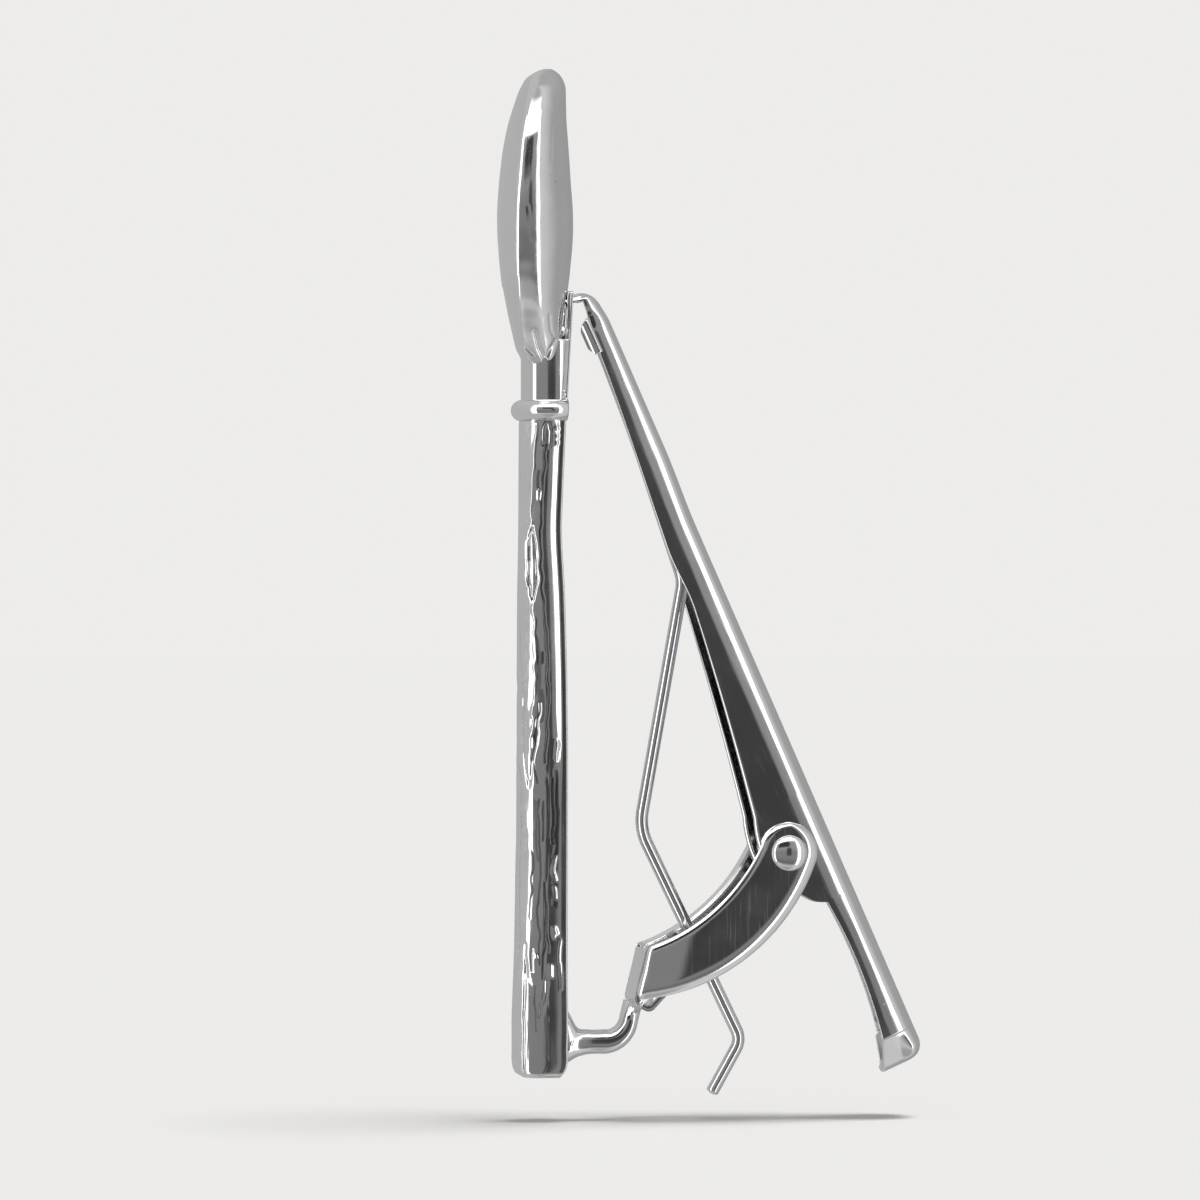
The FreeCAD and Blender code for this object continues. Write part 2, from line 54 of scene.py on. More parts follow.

# %% [markdown]
# ## Grids that become meshes
# A surface is an array of points, rows by columns. Each cell of the grid is a face. A grid may close on
# itself along its columns, as round a bar, and a row may shrink to one point, a pole. Doubles are merged
# afterwards, so seams and poles are closed. A point may carry painted shade, which a material reads as a
# darkening of its colour.

# %% One helper makes every mesh
SAME_PLACE, NO_AREA = 2e-7, 1e-8


def grid_faces(rows, columns, closed):
    """Corners of each cell: rows i, i+1 and columns j, j+1; closed joins the last column to the first."""
    i, j = np.meshgrid(np.arange(rows - 1), np.arange(columns if closed else columns - 1), indexing="ij")
    after = (j + 1) % columns
    here, below = i * columns, (i + 1) * columns
    return np.stack([here + j, here + after, below + after, below + j], -1).reshape(-1, 4)


def with_poles(grid):
    """The grid with a row before its first and after its last, both drawn in to that row's middle point."""
    first, last = (np.broadcast_to(row.mean(1, keepdims=True), row.shape) for row in (grid[:1], grid[-1:]))
    return np.concatenate([first, grid, last])


def make_piece(name, grids, flip=False, painted_shade=None):
    """One smooth mesh from (points, closed) grids in millimetres; flip is for grids that face inwards."""
    points, faces, count = [], [], 0
    for surface, closed in grids:
        rows, columns = surface.shape[:2]
        quads = grid_faces(rows, columns, closed) + count
        faces.append(quads[:, ::-1] if flip else quads)
        points.append(surface.reshape(-1, 3) * MM)
        count += rows * columns
    mesh = bpy.data.meshes.new(name)
    mesh.from_pydata(np.concatenate(points).tolist(), [], np.concatenate(faces).tolist())
    # The painted shade of each point goes into an attribute that the material reads
    if painted_shade is not None:
        crack_shade = mesh.attributes.new("painted_shade", "FLOAT", "POINT")
        crack_shade.data.foreach_set("value", painted_shade.ravel().astype(np.float32))
    piece = bpy.data.objects.new(name, mesh)
    bpy.context.collection.objects.link(piece)
    close_seams(piece)
    mesh.polygons.foreach_set("use_smooth", np.ones(len(mesh.polygons), bool))
    print(name, len(mesh.vertices), "points", len(mesh.polygons), "faces")
    return piece


def close_seams(piece):
    """Merge points that lie on each other, and drop faces that have lost their area at a pole."""
    form = bmesh.new()
    form.from_mesh(piece.data)
    bmesh.ops.remove_doubles(form, verts=form.verts, dist=SAME_PLACE)
    bmesh.ops.dissolve_degenerate(form, edges=form.edges, dist=NO_AREA)
    form.to_mesh(piece.data)
    form.free()


print("a closed grid of 3 rows and 8 columns has", len(grid_faces(3, 8, True)), "faces")

# %% [markdown]
# ## Smooth curves through a few stations
# The cast parts are given by a few stations along their length. A cubic through the stations, with the
# slope at each one taken from its neighbours, keeps the form flowing and never overshoots by much. Sections
# that are neither round nor square are squarish ovals, as a filed or cast bar has.

# %% Curves and ovals
def flowing(at, stations, values):
    """Cubic Hermite curve: slopes are the mean of the slopes on both sides, and the ends keep their own."""
    at, x, y = np.asarray(at, float), np.asarray(stations, float), np.asarray(values, float)
    steps = np.diff(y) / np.diff(x)
    slopes = np.concatenate([[steps[0]], (steps[1:] + steps[:-1]) / 2, [steps[-1]]])
    k = np.clip(np.searchsorted(x, at, side="right") - 1, 0, len(x) - 2)
    width = x[k + 1] - x[k]
    t = np.clip((at - x[k]) / width, 0, 1)
    return ((2 * t**3 - 3 * t**2 + 1) * y[k] + (t**3 - 2 * t**2 + t) * width * slopes[k]
            + (3 * t**2 - 2 * t**3) * y[k + 1] + (t**3 - t**2) * width * slopes[k + 1])


def ramp(low, high, value):
    """Zero below low, one above high, and a smooth S between them."""
    t = np.clip((value - low) / (high - low), 0, 1)
    return t * t * (3 - 2 * t)


def squarish(turn, power, deep=1.0, wide=1.0):
    """Reach at each angle: the powers of cos over deep and sin over wide, summed; then one over the root."""
    return (np.abs(np.cos(turn) / deep) ** power + np.abs(np.sin(turn) / wide) ** power) ** (-1 / power)


print(f"a squarish oval of power 3 reaches {squarish(math.pi / 4, 3):.3f} at its corner, and a circle 1")

# %% [markdown]
# ## Carving a surface
# A casting keeps the marks of the hand that carved its model: grooves, pockets and a wandering grain. Each
# mark is a depth at every point of the grid, and the point is pushed in along the surface's own normal. A
# mark is placed where the camera sees it from the side, and the far side gets the same marks, lower down.

# %% Push, view and line helpers
AIM = math.radians(8.1)
LOOK_X, LOOK_Z = 1.7755, -17.698
VIEW_SCALE, VIEW_MIDDLE = 16.77, 600


def push(grid, amount):
    """Points of a closed grid moved in by the amount, against the cross product of column and row steps."""
    down = np.gradient(grid, axis=0)
    across = (np.roll(grid, -1, 1) - np.roll(grid, 1, 1)) / 2
    normal = np.cross(across, down)
    size = np.linalg.norm(normal, axis=-1, keepdims=True)
    return grid - normal / np.maximum(size, 1e-9) * amount[..., None]


def side_view(grid, far_drop=0.0):
    """Across and down in the camera's side view; the far side is read as the near one, far_drop lower."""
    x, y, z = grid[..., 0], -np.abs(grid[..., 1]), grid[..., 2] + np.where(grid[..., 1] > 0, far_drop, 0)
    across = (x - LOOK_X) * math.cos(AIM) - y * math.sin(AIM)
    return VIEW_MIDDLE + VIEW_SCALE * across, VIEW_MIDDLE - VIEW_SCALE * (z - LOOK_Z)


def line_distance(u, v, points):
    """Shortest distance from every (u, v) to a broken line."""
    nearest = np.full(np.shape(u), 1e9)
    for (x0, y0), (x1, y1) in zip(points, points[1:]):
        dx, dy = x1 - x0, y1 - y0
        t = np.clip(((u - x0) * dx + (v - y0) * dy) / (dx * dx + dy * dy + 1e-9), 0, 1)
        nearest = np.minimum(nearest, np.hypot(u - x0 - t * dx, v - y0 - t * dy))
    return nearest


def carved(u, v, marks):
    """Sum of the marks: each is (points, width, depth), deepest on its line and gone two widths away."""
    total = np.zeros(np.shape(u))
    for points, width, depth in marks:
        total += depth * np.exp(-(line_distance(u, v, points) / width) ** 2)
    return total


def shade_lines(u, v, marks):
    """The same marks as painted shade: the strongest of them at each point, never their sum."""
    total = np.zeros(np.shape(u))
    for points, width, crack_shade in marks:
        total = np.maximum(total, crack_shade * np.exp(-(line_distance(u, v, points) / width) ** 4))
    return total


def grain(x, y, seed):
    """Smooth noise from -1 to 1: seeded random heights at whole numbers, eased between them."""
    heights = np.random.default_rng(seed).uniform(-1, 1, (256, 256))
    i, j = np.floor(x).astype(int), np.floor(y).astype(int)
    fx, fy = x - i, y - j
    fx, fy = fx * fx * (3 - 2 * fx), fy * fy * (3 - 2 * fy)
    top = heights[i % 256, j % 256] * (1 - fx) + heights[(i + 1) % 256, j % 256] * fx
    low = heights[i % 256, (j + 1) % 256] * (1 - fx) + heights[(i + 1) % 256, (j + 1) % 256] * fx
    return top * (1 - fy) + low * fy


print("the side view has", VIEW_SCALE, "steps to the millimetre, and its middle is at", (LOOK_X, LOOK_Z))

# %% [markdown]
# ## The head
# The head is a cast nugget, longer than it is wide, on a squarish neck. Its front is a shallow dome that
# turns over a firm edge into the side, and its back is a full dome. So each cross section is a shallow dome
# between two corner ovals, with half an oval behind. The stations are read by the angle round the head's
# length, not by height, which keeps both ends round.

# %% Head and neck surfaces
HEAD_TOP, HEAD_LENGTH, HEAD_HALF, HEAD_FRONT = 13.93, 17.9, 4.5, 4.10
# Stations from the head's top to its tip: share of the length, width, front, widest place and back
HEAD_SHARE = [0.003, 0.029, 0.060, 0.111, 0.177, 0.261, 0.368, 0.484, 0.600, 0.700, 0.793, 0.869, 0.936,
              0.980, 1.0]
HEAD_WIDE = [0.14, 0.42, 0.58, 0.74, 0.87, 0.96, 1.00, 0.99, 0.91, 0.80, 0.67, 0.54, 0.43, 0.34, 0.20]
HEAD_DEEP = [0.410, 0.625, 0.700, 0.775, 0.855, 0.922, 0.970, 1.0, 0.985, 0.950, 0.885, 0.820, 0.755,
             0.650, 0.500]
HEAD_GIRDLE = [0.50, 0.45, 0.38, 0.32, 0.29, 0.27, 0.26, 0.26, 0.27, 0.30, 0.34, 0.40, 0.46, 0.50, 0.50]
HEAD_BACK = [-0.280, -0.141, -0.088, -0.080, -0.073, -0.049, -0.017, 0.020, 0.012, -0.029, -0.076, -0.093,
             -0.107, -0.146, -0.268]
HEAD_CORNER, HEAD_DOME = 0.09, 0.045
STRIP_LEAN, STRIP_THICK = math.radians(3.2), 0.36
NECK_AXIS, NECK_RADIUS, BAR_POWER = -1.35, 1.60, 2.6


def strip_face(z, depth):
    """The x of the strip's rear face at height z, or of a plane that far in front of it."""
    return z * math.tan(STRIP_LEAN) - depth / math.cos(STRIP_LEAN)


# Each mark is a line in the side view, its width and its depth: facets at the neck, then fine lines
HEAD_MARKS = [
    ([(517, 282), (518, 318), (523, 346), (533, 356)], 1.6, 0.035),
    ([(535, 334), (539, 350), (545, 362)], 1.9, 0.07),
    ([(545, 362), (550, 352), (556, 342)], 1.9, 0.07),
    ([(550, 318), (551, 332), (556, 342)], 1.6, 0.04),
    ([(552, 165), (553, 130), (560, 114)], 1.4, 0.010),
    ([(529, 212), (531, 228), (533, 243)], 2.2, 0.020),
]


def head_surface(rows=320, columns=288):
    """Each section runs: near corner oval, shallow front dome, far corner oval, back half oval."""
    angle = np.linspace(math.acos(1 - 2 * HEAD_SHARE[0]), math.pi, rows)
    at = np.arccos(1 - 2 * np.array(HEAD_SHARE))
    wide = flowing(angle, at, HEAD_WIDE)[:, None] * HEAD_HALF
    front = -flowing(angle, at, HEAD_DEEP)[:, None] * HEAD_FRONT
    back = flowing(angle, at, HEAD_BACK)[:, None] * HEAD_FRONT
    girdle = front + flowing(angle, at, HEAD_GIRDLE)[:, None] * (back - front)
    corner, dome = HEAD_CORNER * wide, HEAD_DOME * wide
    edge = front + dome
    cheek = girdle - edge
    bend = np.linspace(0, math.pi / 2, columns // 8, endpoint=False)[None, :]
    flat = np.linspace(1, -1, columns // 4, endpoint=False)[None, :]
    round_back = np.linspace(0, math.pi, columns // 2, endpoint=False)[None, :]
    x = np.concatenate([girdle - cheek * np.sin(bend), edge - dome * (1 - flat**2),
                        girdle - cheek * np.cos(bend), girdle + (back - girdle) * np.sin(round_back)], 1)
    y = np.concatenate([-(wide - corner * (1 - np.cos(bend))), -(wide - corner) * flat,
                        wide - corner * (1 - np.sin(bend)), wide * np.cos(round_back)], 1)
    z = np.repeat((HEAD_TOP - (1 - np.cos(angle)) / 2 * HEAD_LENGTH)[:, None], x.shape[1], 1)
    grid = np.stack([x, y, z], -1)
    u, v = side_view(grid, far_drop=0.3)
    swell = 0.012 * grain(y * 1.1, z * 0.45, 3) + 0.008 * grain(y * 2.3 + 9, z * 1.2, 4)
    away = ramp(0.0, 0.12, angle)[:, None] * ramp(math.pi, math.pi - 0.12, angle)[:, None]
    return with_poles(push(grid, (carved(u, v, HEAD_MARKS) + swell) * away))


def neck_surface(rows=40, columns=96):
    """A squarish bar from inside the head to inside the collar, its back cut flat just under the strip."""
    z = np.linspace(-2.2, -7.0, rows)[:, None]
    turn = np.linspace(0, 2 * math.pi, columns, endpoint=False)
    reach = NECK_RADIUS * squarish(turn, BAR_POWER)
    x = np.minimum(NECK_AXIS + reach * np.cos(turn), strip_face(z, STRIP_THICK))
    y = np.repeat((reach * np.sin(turn))[None, :], rows, 0)
    return with_poles(np.stack([x, y, np.repeat(z, columns, 1)], -1))


head = make_piece("cast_head", [(head_surface(), True), (neck_surface()[:, ::-1], True)])

# %% [markdown]
# ## The collar
# A bead runs round the neck below the head. It is half an oval turned about the neck's axis, and its back
# is cut flat, in line with the strip.

# %% Collar
COLLAR_TOP, SHAFT_TOP, COLLAR_PROUD = -5.80, -7.05, 0.62


def collar_surface(columns=144, rows=28):
    """Half an oval that stands proud of the neck, turned about the axis; its ends run in to the axis."""
    bulge = np.linspace(0, math.pi, rows)
    radius = NECK_RADIUS + COLLAR_PROUD * np.sin(bulge)
    z = (COLLAR_TOP + SHAFT_TOP) / 2 + (COLLAR_TOP - SHAFT_TOP) / 2 * np.cos(bulge)
    radius = np.concatenate([[0], radius, [0]])
    z = np.concatenate([[COLLAR_TOP], z, [SHAFT_TOP]])[:, None]
    turn = np.linspace(0, 2 * math.pi, columns, endpoint=False)
    x = np.minimum(NECK_AXIS + radius[:, None] * np.cos(turn), strip_face(z, 0.0))
    return np.stack([x, radius[:, None] * np.sin(turn), np.repeat(z, columns, 1)], -1)


collar = make_piece("bead_collar", [(collar_surface(), True)], flip=True)

# %% [markdown]
# ## The back strip
# A thin flat strip stands behind the head and neck and leans a little. The jaw presses the cloth on it. Its
# section, with small rear corners and a broad bevel at each front corner, is carried up the strip. Where it
# was soldered on, drops are left at the joint: eggs whose skin is swelled by a noise.

# %% Strip
STRIP_SHOULDER, STRIP_ROUND = 0.53, 0.12


def strip_outline(columns):
    """Once round the section at an even pace: half of its corners, then the same corners mirrored."""
    thick = STRIP_THICK / 2
    half = [(thick, 0), (thick, 1.21), (0.15, 1.25), (0.05, 1.25), (0.02, 1.22), (-thick, 1.10), (-thick, 0)]
    corners = np.concatenate([half, np.array(half)[-2::-1] * (1, -1)])
    length = np.concatenate([[0], np.cumsum(np.linalg.norm(np.diff(corners, axis=0), axis=1))])
    at = np.linspace(0, length[-1], columns, endpoint=False)
    return np.interp(at, length, corners[:, 0]), np.interp(at, length, corners[:, 1])


def strip_surface(rows=40, columns=180):
    """The section carried up the lean; an arc draws it in at the top, its thickness three times as fast."""
    x, y = strip_outline(columns)
    turn = np.linspace(0.2, math.pi / 2, 8)
    top = STRIP_SHOULDER + STRIP_ROUND * np.sin(turn)
    z = np.concatenate([[COLLAR_TOP], np.linspace(COLLAR_TOP, STRIP_SHOULDER, rows), top, top[-1:]])
    width = np.concatenate([[0], np.ones(rows), 1 - STRIP_ROUND * (1 - np.cos(turn)), [0]])
    thickness = (1 - 3.0 * (1 - width)).clip(0)
    grid_x = strip_face(z, STRIP_THICK / 2)[:, None] + x * thickness[:, None]
    return np.stack([grid_x, y * width[:, None], np.repeat(z[:, None], columns, 1)], -1)


def solder_drop(place, size, seed, columns=28, rows=16):
    """An egg of solder at (x, y, z) with half sizes, its skin pushed in and out by the grain."""
    rise = np.linspace(-math.pi / 2, math.pi / 2, rows)[:, None]
    turn = np.linspace(0, 2 * math.pi, columns, endpoint=False)[None, :]
    way = np.stack([np.cos(rise) * np.cos(turn), np.cos(rise) * np.sin(turn), np.sin(rise) + 0 * turn], -1)
    swell = 1 + 0.22 * grain(way[..., 0] * 1.7 + 5, way[..., 2] * 1.7 + way[..., 1] + 5, seed) * np.cos(rise)
    return np.array(place) + way * np.array(size) * swell[..., None]


# Each drop is its place, its half sizes and a seed
JOINT_DROPS = [
    ((-0.52, -1.12, -0.90), (0.16, 0.16, 1.05), 36),
    ((-0.62, -1.22, -1.75), (0.17, 0.20, 0.30), 31),
    ((-0.72, -1.20, -2.35), (0.13, 0.20, 0.22), 32),
    ((-0.60, 1.20, -1.90), (0.17, 0.20, 0.34), 33),
    ((-0.70, -1.16, -5.45), (0.16, 0.22, 0.24), 34),
    ((-0.64, 1.14, -5.50), (0.16, 0.22, 0.24), 35),
]
drops = [(solder_drop(*drop), True) for drop in JOINT_DROPS]
strip = make_piece("back_strip_plate", [(strip_surface(), True)] + drops)

# %% [markdown]
# ## The shaft
# The shaft is cast with bark on its front. Its section is a squarish half oval in front, two short sides
# that lean in, and a flat back with round corners. The bark is carved in two layers. One is a grain of long
# ridges that wander up the shaft. The other is single lines: folds, sunk or proud, and fine cracks, which are
# carved only a little and whose shade is painted into the colour as a dark tone. Both kinds of line are bent
# by a slow noise, because nothing on bark runs straight.

# %% The bark's lines
FOOT = -46.07
SHAFT_DEEP, SHAFT_HALF, SHAFT_BACK = 3.20, 1.60, -0.36
# Stations down the shaft: share of the length, and how far front and back lie in, as shares of its depth
SHAFT_SHARE = [0.0, 0.120, 0.166, 0.273, 0.456, 0.610, 0.823, 0.955, 0.986, 1.0]
SHAFT_FRONT_IN = [0.045, 0.035, 0.032, 0.010, 0.0, -0.010, -0.054, -0.096, -0.071, 0.013]
SHAFT_BACK_IN = [0.029, 0.093, 0.109, 0.048, 0.0, 0.0, 0.006, 0.003, 0.026, 0.135]

# Each fold is a line in the side view, its width and its depth, and a negative depth stands proud
FOLDS = [
    ([(537, 425), (533, 480), (531, 524)], 1.5, -0.05),
    ([(531, 530), (527, 545), (527, 572), (531, 598)], 1.3, 0.07),
    ([(531, 530), (536, 545), (537, 580), (533, 600)], 1.3, 0.07),
    ([(534, 604), (536, 660), (533, 735)], 1.4, -0.04),
    ([(540, 704), (537, 735), (533, 760)], 1.5, 0.06),
    ([(541, 1015), (545, 996), (548, 980)], 1.6, 0.035),
    ([(525, 945), (526, 972), (533, 970), (532, 948)], 1.1, 0.06),
    ([(543, 446), (544, 430), (548, 424), (551, 432), (549, 447)], 1.2, 0.03),
    ([(557, 428), (557, 429)], 1.6, -0.05),
    ([(557, 435), (557, 436)], 1.4, -0.05),
    ([(557, 441), (557, 443)], 1.5, -0.05),
    ([(557, 742), (556, 757)], 1.5, -0.05),
    ([(556, 857), (554, 868), (556, 880)], 1.4, -0.055),
    ([(554, 888), (555, 897)], 1.5, -0.05),
    ([(554, 925), (556, 933)], 1.9, -0.065),
    ([(551, 962), (551, 972)], 1.6, -0.05),
    ([(561, 938), (560, 960), (561, 986)], 1.0, -0.03),
    ([(537, 953), (538, 956)], 1.8, -0.05),
    ([(539, 490), (540, 500)], 1.8, -0.04),
]
# Each crack is a line, its width and the strength of its painted shade
CRACKS = [
    ([(538, 640), (540, 700), (536, 742)], 2.2, 0.45),
    ([(542, 690), (543, 722)], 1.7, 0.50),
    ([(536, 800), (538, 860)], 1.2, 0.40),
    ([(555, 770), (556, 850), (554, 905)], 2.2, 0.45),
    ([(546, 450), (541, 520), (542, 590), (546, 620), (549, 690), (546, 760)], 0.9, 0.75),
    ([(540, 702), (536, 735), (533, 760), (537, 782)], 1.0, 0.70),
    ([(540, 470), (538, 486)], 1.6, 0.60),
    ([(542, 653), (542, 665)], 1.4, 0.75),
    ([(529, 548), (529, 560)], 1.8, 0.80),
    ([(529, 578), (528, 588)], 1.3, 0.80),
    ([(545, 424), (544, 440), (547, 452)], 1.3, 0.45),
    ([(538, 800), (541, 850), (538, 905), (541, 960)], 1.0, 0.60),
    ([(531, 820), (533, 868), (531, 915)], 0.9, 0.55),
    ([(545, 880), (546, 930), (543, 975)], 1.0, 0.60),
    ([(536, 640), (537, 690)], 0.9, 0.40),
    ([(551, 780), (552, 840)], 1.0, 0.60),
    ([(535, 985), (536, 1030)], 0.9, 0.50),
    ([(543, 800), (544, 840)], 0.8, 0.50),
    ([(547, 900), (549, 950)], 0.8, 0.60),
]
print(len(FOLDS), "folds and", len(CRACKS), "cracks on each side of the shaft")

# %% [markdown]
# ## The shaft's surface
# The grain is noise stretched along the shaft, so it makes ridges instead of lumps. It fades out at the
# sides, at both ends and towards the smooth upper half. Each height has the same number of points, in the
# same order round the section, so the whole shaft is one grid.

# %% Shaft
def ridged(p, z):
    """Depth of the grain at the place p round the front: wandering ridges, and creases between them."""
    wander = p + 0.16 * grain(z * 0.35, p * 0.6, 11) + 0.05 * grain(z * 1.3, p * 1.5, 12)
    lower = ramp(-14, -26, z)
    face = 0.12 + 0.88 * ramp(-1.75, -1.25, wander) * ramp(2.1, 1.6, wander)
    ridges = 0.020 * grain(wander * 1.5, z * 0.15, 13)
    ridges = ridges + 0.006 * (0.4 + lower) * grain(wander * 3.8, z * 0.5, 14)
    fine = (0.001 + 0.005 * lower) * grain(wander * 8.5, z * 1.1, 15)
    creases = np.maximum(0, 0.16 - np.abs(grain(wander * 2.3, z * 0.16, 17))) * (0.12 + 0.30 * lower)
    return (ridges + fine + creases) * face


def shaft_surface(rows=640, front_columns=104):
    """Each row: a squarish half oval, sides that lean in, the back slab's edges, round corners, flat back."""
    share = np.concatenate([[0, 0.0006], np.linspace(0.002, 0.994, rows), [0.9975, 0.9992, 1]])
    z = (SHAFT_TOP + share * (FOOT - SHAFT_TOP))[:, None]
    draw = 0.25 * ramp(0.992, 1.0, share)[:, None] ** 2
    front = -(1 - flowing(share, SHAFT_SHARE, SHAFT_FRONT_IN))[:, None] * SHAFT_DEEP + draw
    back = SHAFT_BACK - flowing(share, SHAFT_SHARE, SHAFT_BACK_IN)[:, None] * SHAFT_DEEP
    half, slab, corner, run = SHAFT_HALF - draw, 0.30, 0.08, 0.68
    middle, lean = back - corner - slab - run, 0.03 + 0.08 * ramp(-30, -24, z)
    t = np.linspace(-1, 1, front_columns)[None, :]
    facing = t * math.pi / 2
    reach = squarish(facing, BAR_POWER, middle - front, half)
    x = [middle - reach * np.cos(facing)]
    y = [reach * np.sin(facing)]
    along, turn = np.linspace(0, 1, 10)[None, 1:], np.linspace(0, math.pi / 2, 5)[None, 1:]
    plate = np.linspace(0, 1, 4)[None, 1:]
    x += [middle + run * along, middle + run + slab * plate, back - corner + corner * np.sin(turn)]
    y += [half - lean * along**2, half - lean + 0 * plate, half - lean - corner * (1 - np.cos(turn))]
    flat = np.linspace(1, -1, 14)[None, 1:-1]
    far_x, far_y = x[1:], y[1:]
    x += [back + 0 * flat] + [part[:, ::-1] for part in far_x[::-1]]
    y += [(half - lean - corner) * flat] + [-part[:, ::-1] for part in far_y[::-1]]
    x, y = np.concatenate(x, 1), np.concatenate(y, 1)
    grid = np.stack([x, y, np.repeat(z, x.shape[1], 1)], -1)
    u, v = side_view(grid, far_drop=5.2)
    u, v = u + 1.3 * grain(v * 0.09, u * 0.15, 21), v + 3.5 * grain(u * 0.30, v * 0.05, 22)
    place = 2.5 * t + 0 * z
    carved_side = x < back - 0.3
    # Painted shade along the cracks: a dark tone for the material, and a slight carving
    crack_shade = shade_lines(u, v, CRACKS) * carved_side
    depth = 0.006 * grain(y * 1.5, grid[..., 2] * 0.5, 18) + carved(u, v, FOLDS) * carved_side + 0.02 * crack_shade
    depth[:, :front_columns] += ridged(place, z + 0 * place) * ramp(1.0, 0.93, np.abs(t))
    depth *= ramp(0, 0.006, share)[:, None] * ramp(1.0, 0.99, share)[:, None]
    return with_poles(push(grid, depth)), np.concatenate([crack_shade[:1], crack_shade, crack_shade[-1:]])


shaft_points, shaft_crack_shade = shaft_surface()
shaft = make_piece("bark_shaft", [(shaft_points, True)], painted_shade=shaft_crack_shade)

# %% [markdown]
# ## Places in the side view
# The lever mechanism is drawn in the side view, x across and z up. The lever has its own axes at the pivot:
# s runs along it to the thumb and n towards its crown.

# %% The pivot and the lever's axes
PIVOT = np.array([12.78, FOOT + 13.32])
JAW_LIP, JAW_LIP_SHEET, CROWN = 1.48, 0.42, 3.05
to_grip = np.array([0.07, 0.0]) - PIVOT
JAW_REACH = math.sqrt(to_grip @ to_grip - (CROWN - JAW_LIP) ** 2)
LEVER_LEAN = math.atan2(to_grip[1], to_grip[0]) + math.pi / 2 - math.atan2(CROWN - JAW_LIP, -JAW_REACH)
ALONG = np.array([math.sin(LEVER_LEAN), -math.cos(LEVER_LEAN)])
OUT = np.array([math.cos(LEVER_LEAN), math.sin(LEVER_LEAN)])
JAW_END = -JAW_REACH - JAW_LIP_SHEET
CRIMP_START = 1.80 - JAW_REACH
CRIMP_END = CRIMP_START + 2.40
print(f"lever leans {math.degrees(LEVER_LEAN):.2f} degrees and reaches {JAW_REACH:.2f} mm to its jaw")


def on_lever(s, n):
    """Side-view point, or points, s along the lever and n towards its crown."""
    s, n = np.asarray(s, float), np.asarray(n, float)
    return PIVOT + s[..., None] * ALONG + n[..., None] * OUT


def arc_between(a, b, sag, count):
    """Points of the arc from a to b whose middle lies sag to the right of the straight line."""
    a, b = np.asarray(a, float), np.asarray(b, float)
    along = (b - a) / np.linalg.norm(b - a)
    side = np.array([along[1], -along[0]])
    half = np.linalg.norm(b - a) / 2
    radius = (half**2 + sag**2) / (2 * sag)
    reach = math.asin(half / abs(radius))
    turn = np.linspace(-reach, reach, count)
    return ((a + b) / 2 + np.outer(np.sin(turn) * abs(radius), along)
            + np.outer(sag - radius * (1 - np.cos(turn)), side))


# %% [markdown]
# ## The clasp lever
# The lever is pressed from sheet: an arch from end to end, with ears at the pivot, a thumb end that is
# folded down and a lip that bites the cloth. Seen from above it is a bar that tapers to the jaw. Seen from
# the side it lies between a straight crown and the wavy free edge of its flanges. Those curves come first.

# %% Lever outline
LEVER_HALF, JAW_HALF, TAPER_END, THUMB_REACH = 2.12, 1.10, 3.00, 14.50
BELLY_FRONT, BELLY_BACK, TAIL = (-2.69, -1.05), (1.50, -1.32), (3.65, CROWN - 1.60)
LOBE, LOBE_LOW, LOBE_END = 12.60, 0.74, 0.16


def half_width(s):
    """Parallel from the thumb past the pivot, then tapering evenly to the jaw."""
    taper = (LEVER_HALF - JAW_HALF) / (-TAPER_END - JAW_END)
    return LEVER_HALF + np.minimum(0.0, s + TAPER_END) * taper


def shoulder_depth(s):
    """How deep the oval of the crown is: 0.60 at the jaw, 0.85 in the middle and 1.06 from the pivot on."""
    return np.interp(s, [JAW_END, -14.0, -TAPER_END], [0.60, 0.85, 1.06])


def flange_edge(s, near):
    """Height n of a flange's free edge: lip, jaw run, ear belly, tail and thumb; the near one hangs lower."""
    lip = CROWN - JAW_LIP - JAW_LIP_SHEET
    parts = [
        [[JAW_END, lip], [-JAW_REACH - 0.10, lip], [-JAW_REACH + 0.05, CROWN - 0.95]],
        arc_between(BELLY_FRONT, (CRIMP_START, CROWN - 1.07), 0.55, 60)[::-1],
        arc_between(BELLY_BACK, BELLY_FRONT, -0.32, 24)[::-1],
        arc_between(TAIL, BELLY_BACK, -0.32, 24)[::-1],
        arc_between((LOBE, 1.20), TAIL, 0.33, 40)[::-1],
    ]
    line = np.concatenate(parts)
    edge = np.interp(s, line[:, 0], line[:, 1])
    if near:
        jaw_run = ramp(-15.5, -19.5, s) * ramp(CRIMP_START - 1, CRIMP_START, s)
        edge = edge - (0.16 + 0.26 * ramp(-34.0, -20.0, s)) * jaw_run
        edge = edge - 0.45 * ramp(2.6, 3.6, s)
    else:
        edge = edge + 0.30 * ramp(CRIMP_START + 1, CRIMP_START, s) * (s > -JAW_REACH)
    lobe = np.interp(s, [LOBE, LOBE + 0.12, THUMB_REACH], [edge[-1], LOBE_LOW, LOBE_END])
    return np.where(s > LOBE, np.minimum(edge, lobe + (0.0 if near else 0.27)), edge)


def corner_drop(distance, radius):
    """How far a rounded corner falls away at that distance before its end."""
    inside = np.clip(radius - distance, 0, radius)
    return radius - np.sqrt(np.maximum(radius**2 - inside**2, 0))


print(f"the lever is {2 * half_width(0.0):.2f} mm wide, and {2 * half_width(JAW_END):.2f} mm at its jaw")

# %% [markdown]
# ## The lever's skin
# The pressed section has a shallow oval crown, a quick turn at each shoulder and straight flanges. The turn
# is a smaller circle that carries on where the oval has reached 75 degrees, so the reflection bends there
# without a crease. One grid, along the lever by across the arch, makes it all, and closed rows fill the
# jaw's lip. The thumb end is a face of its own, because its rim is a sharp fold.

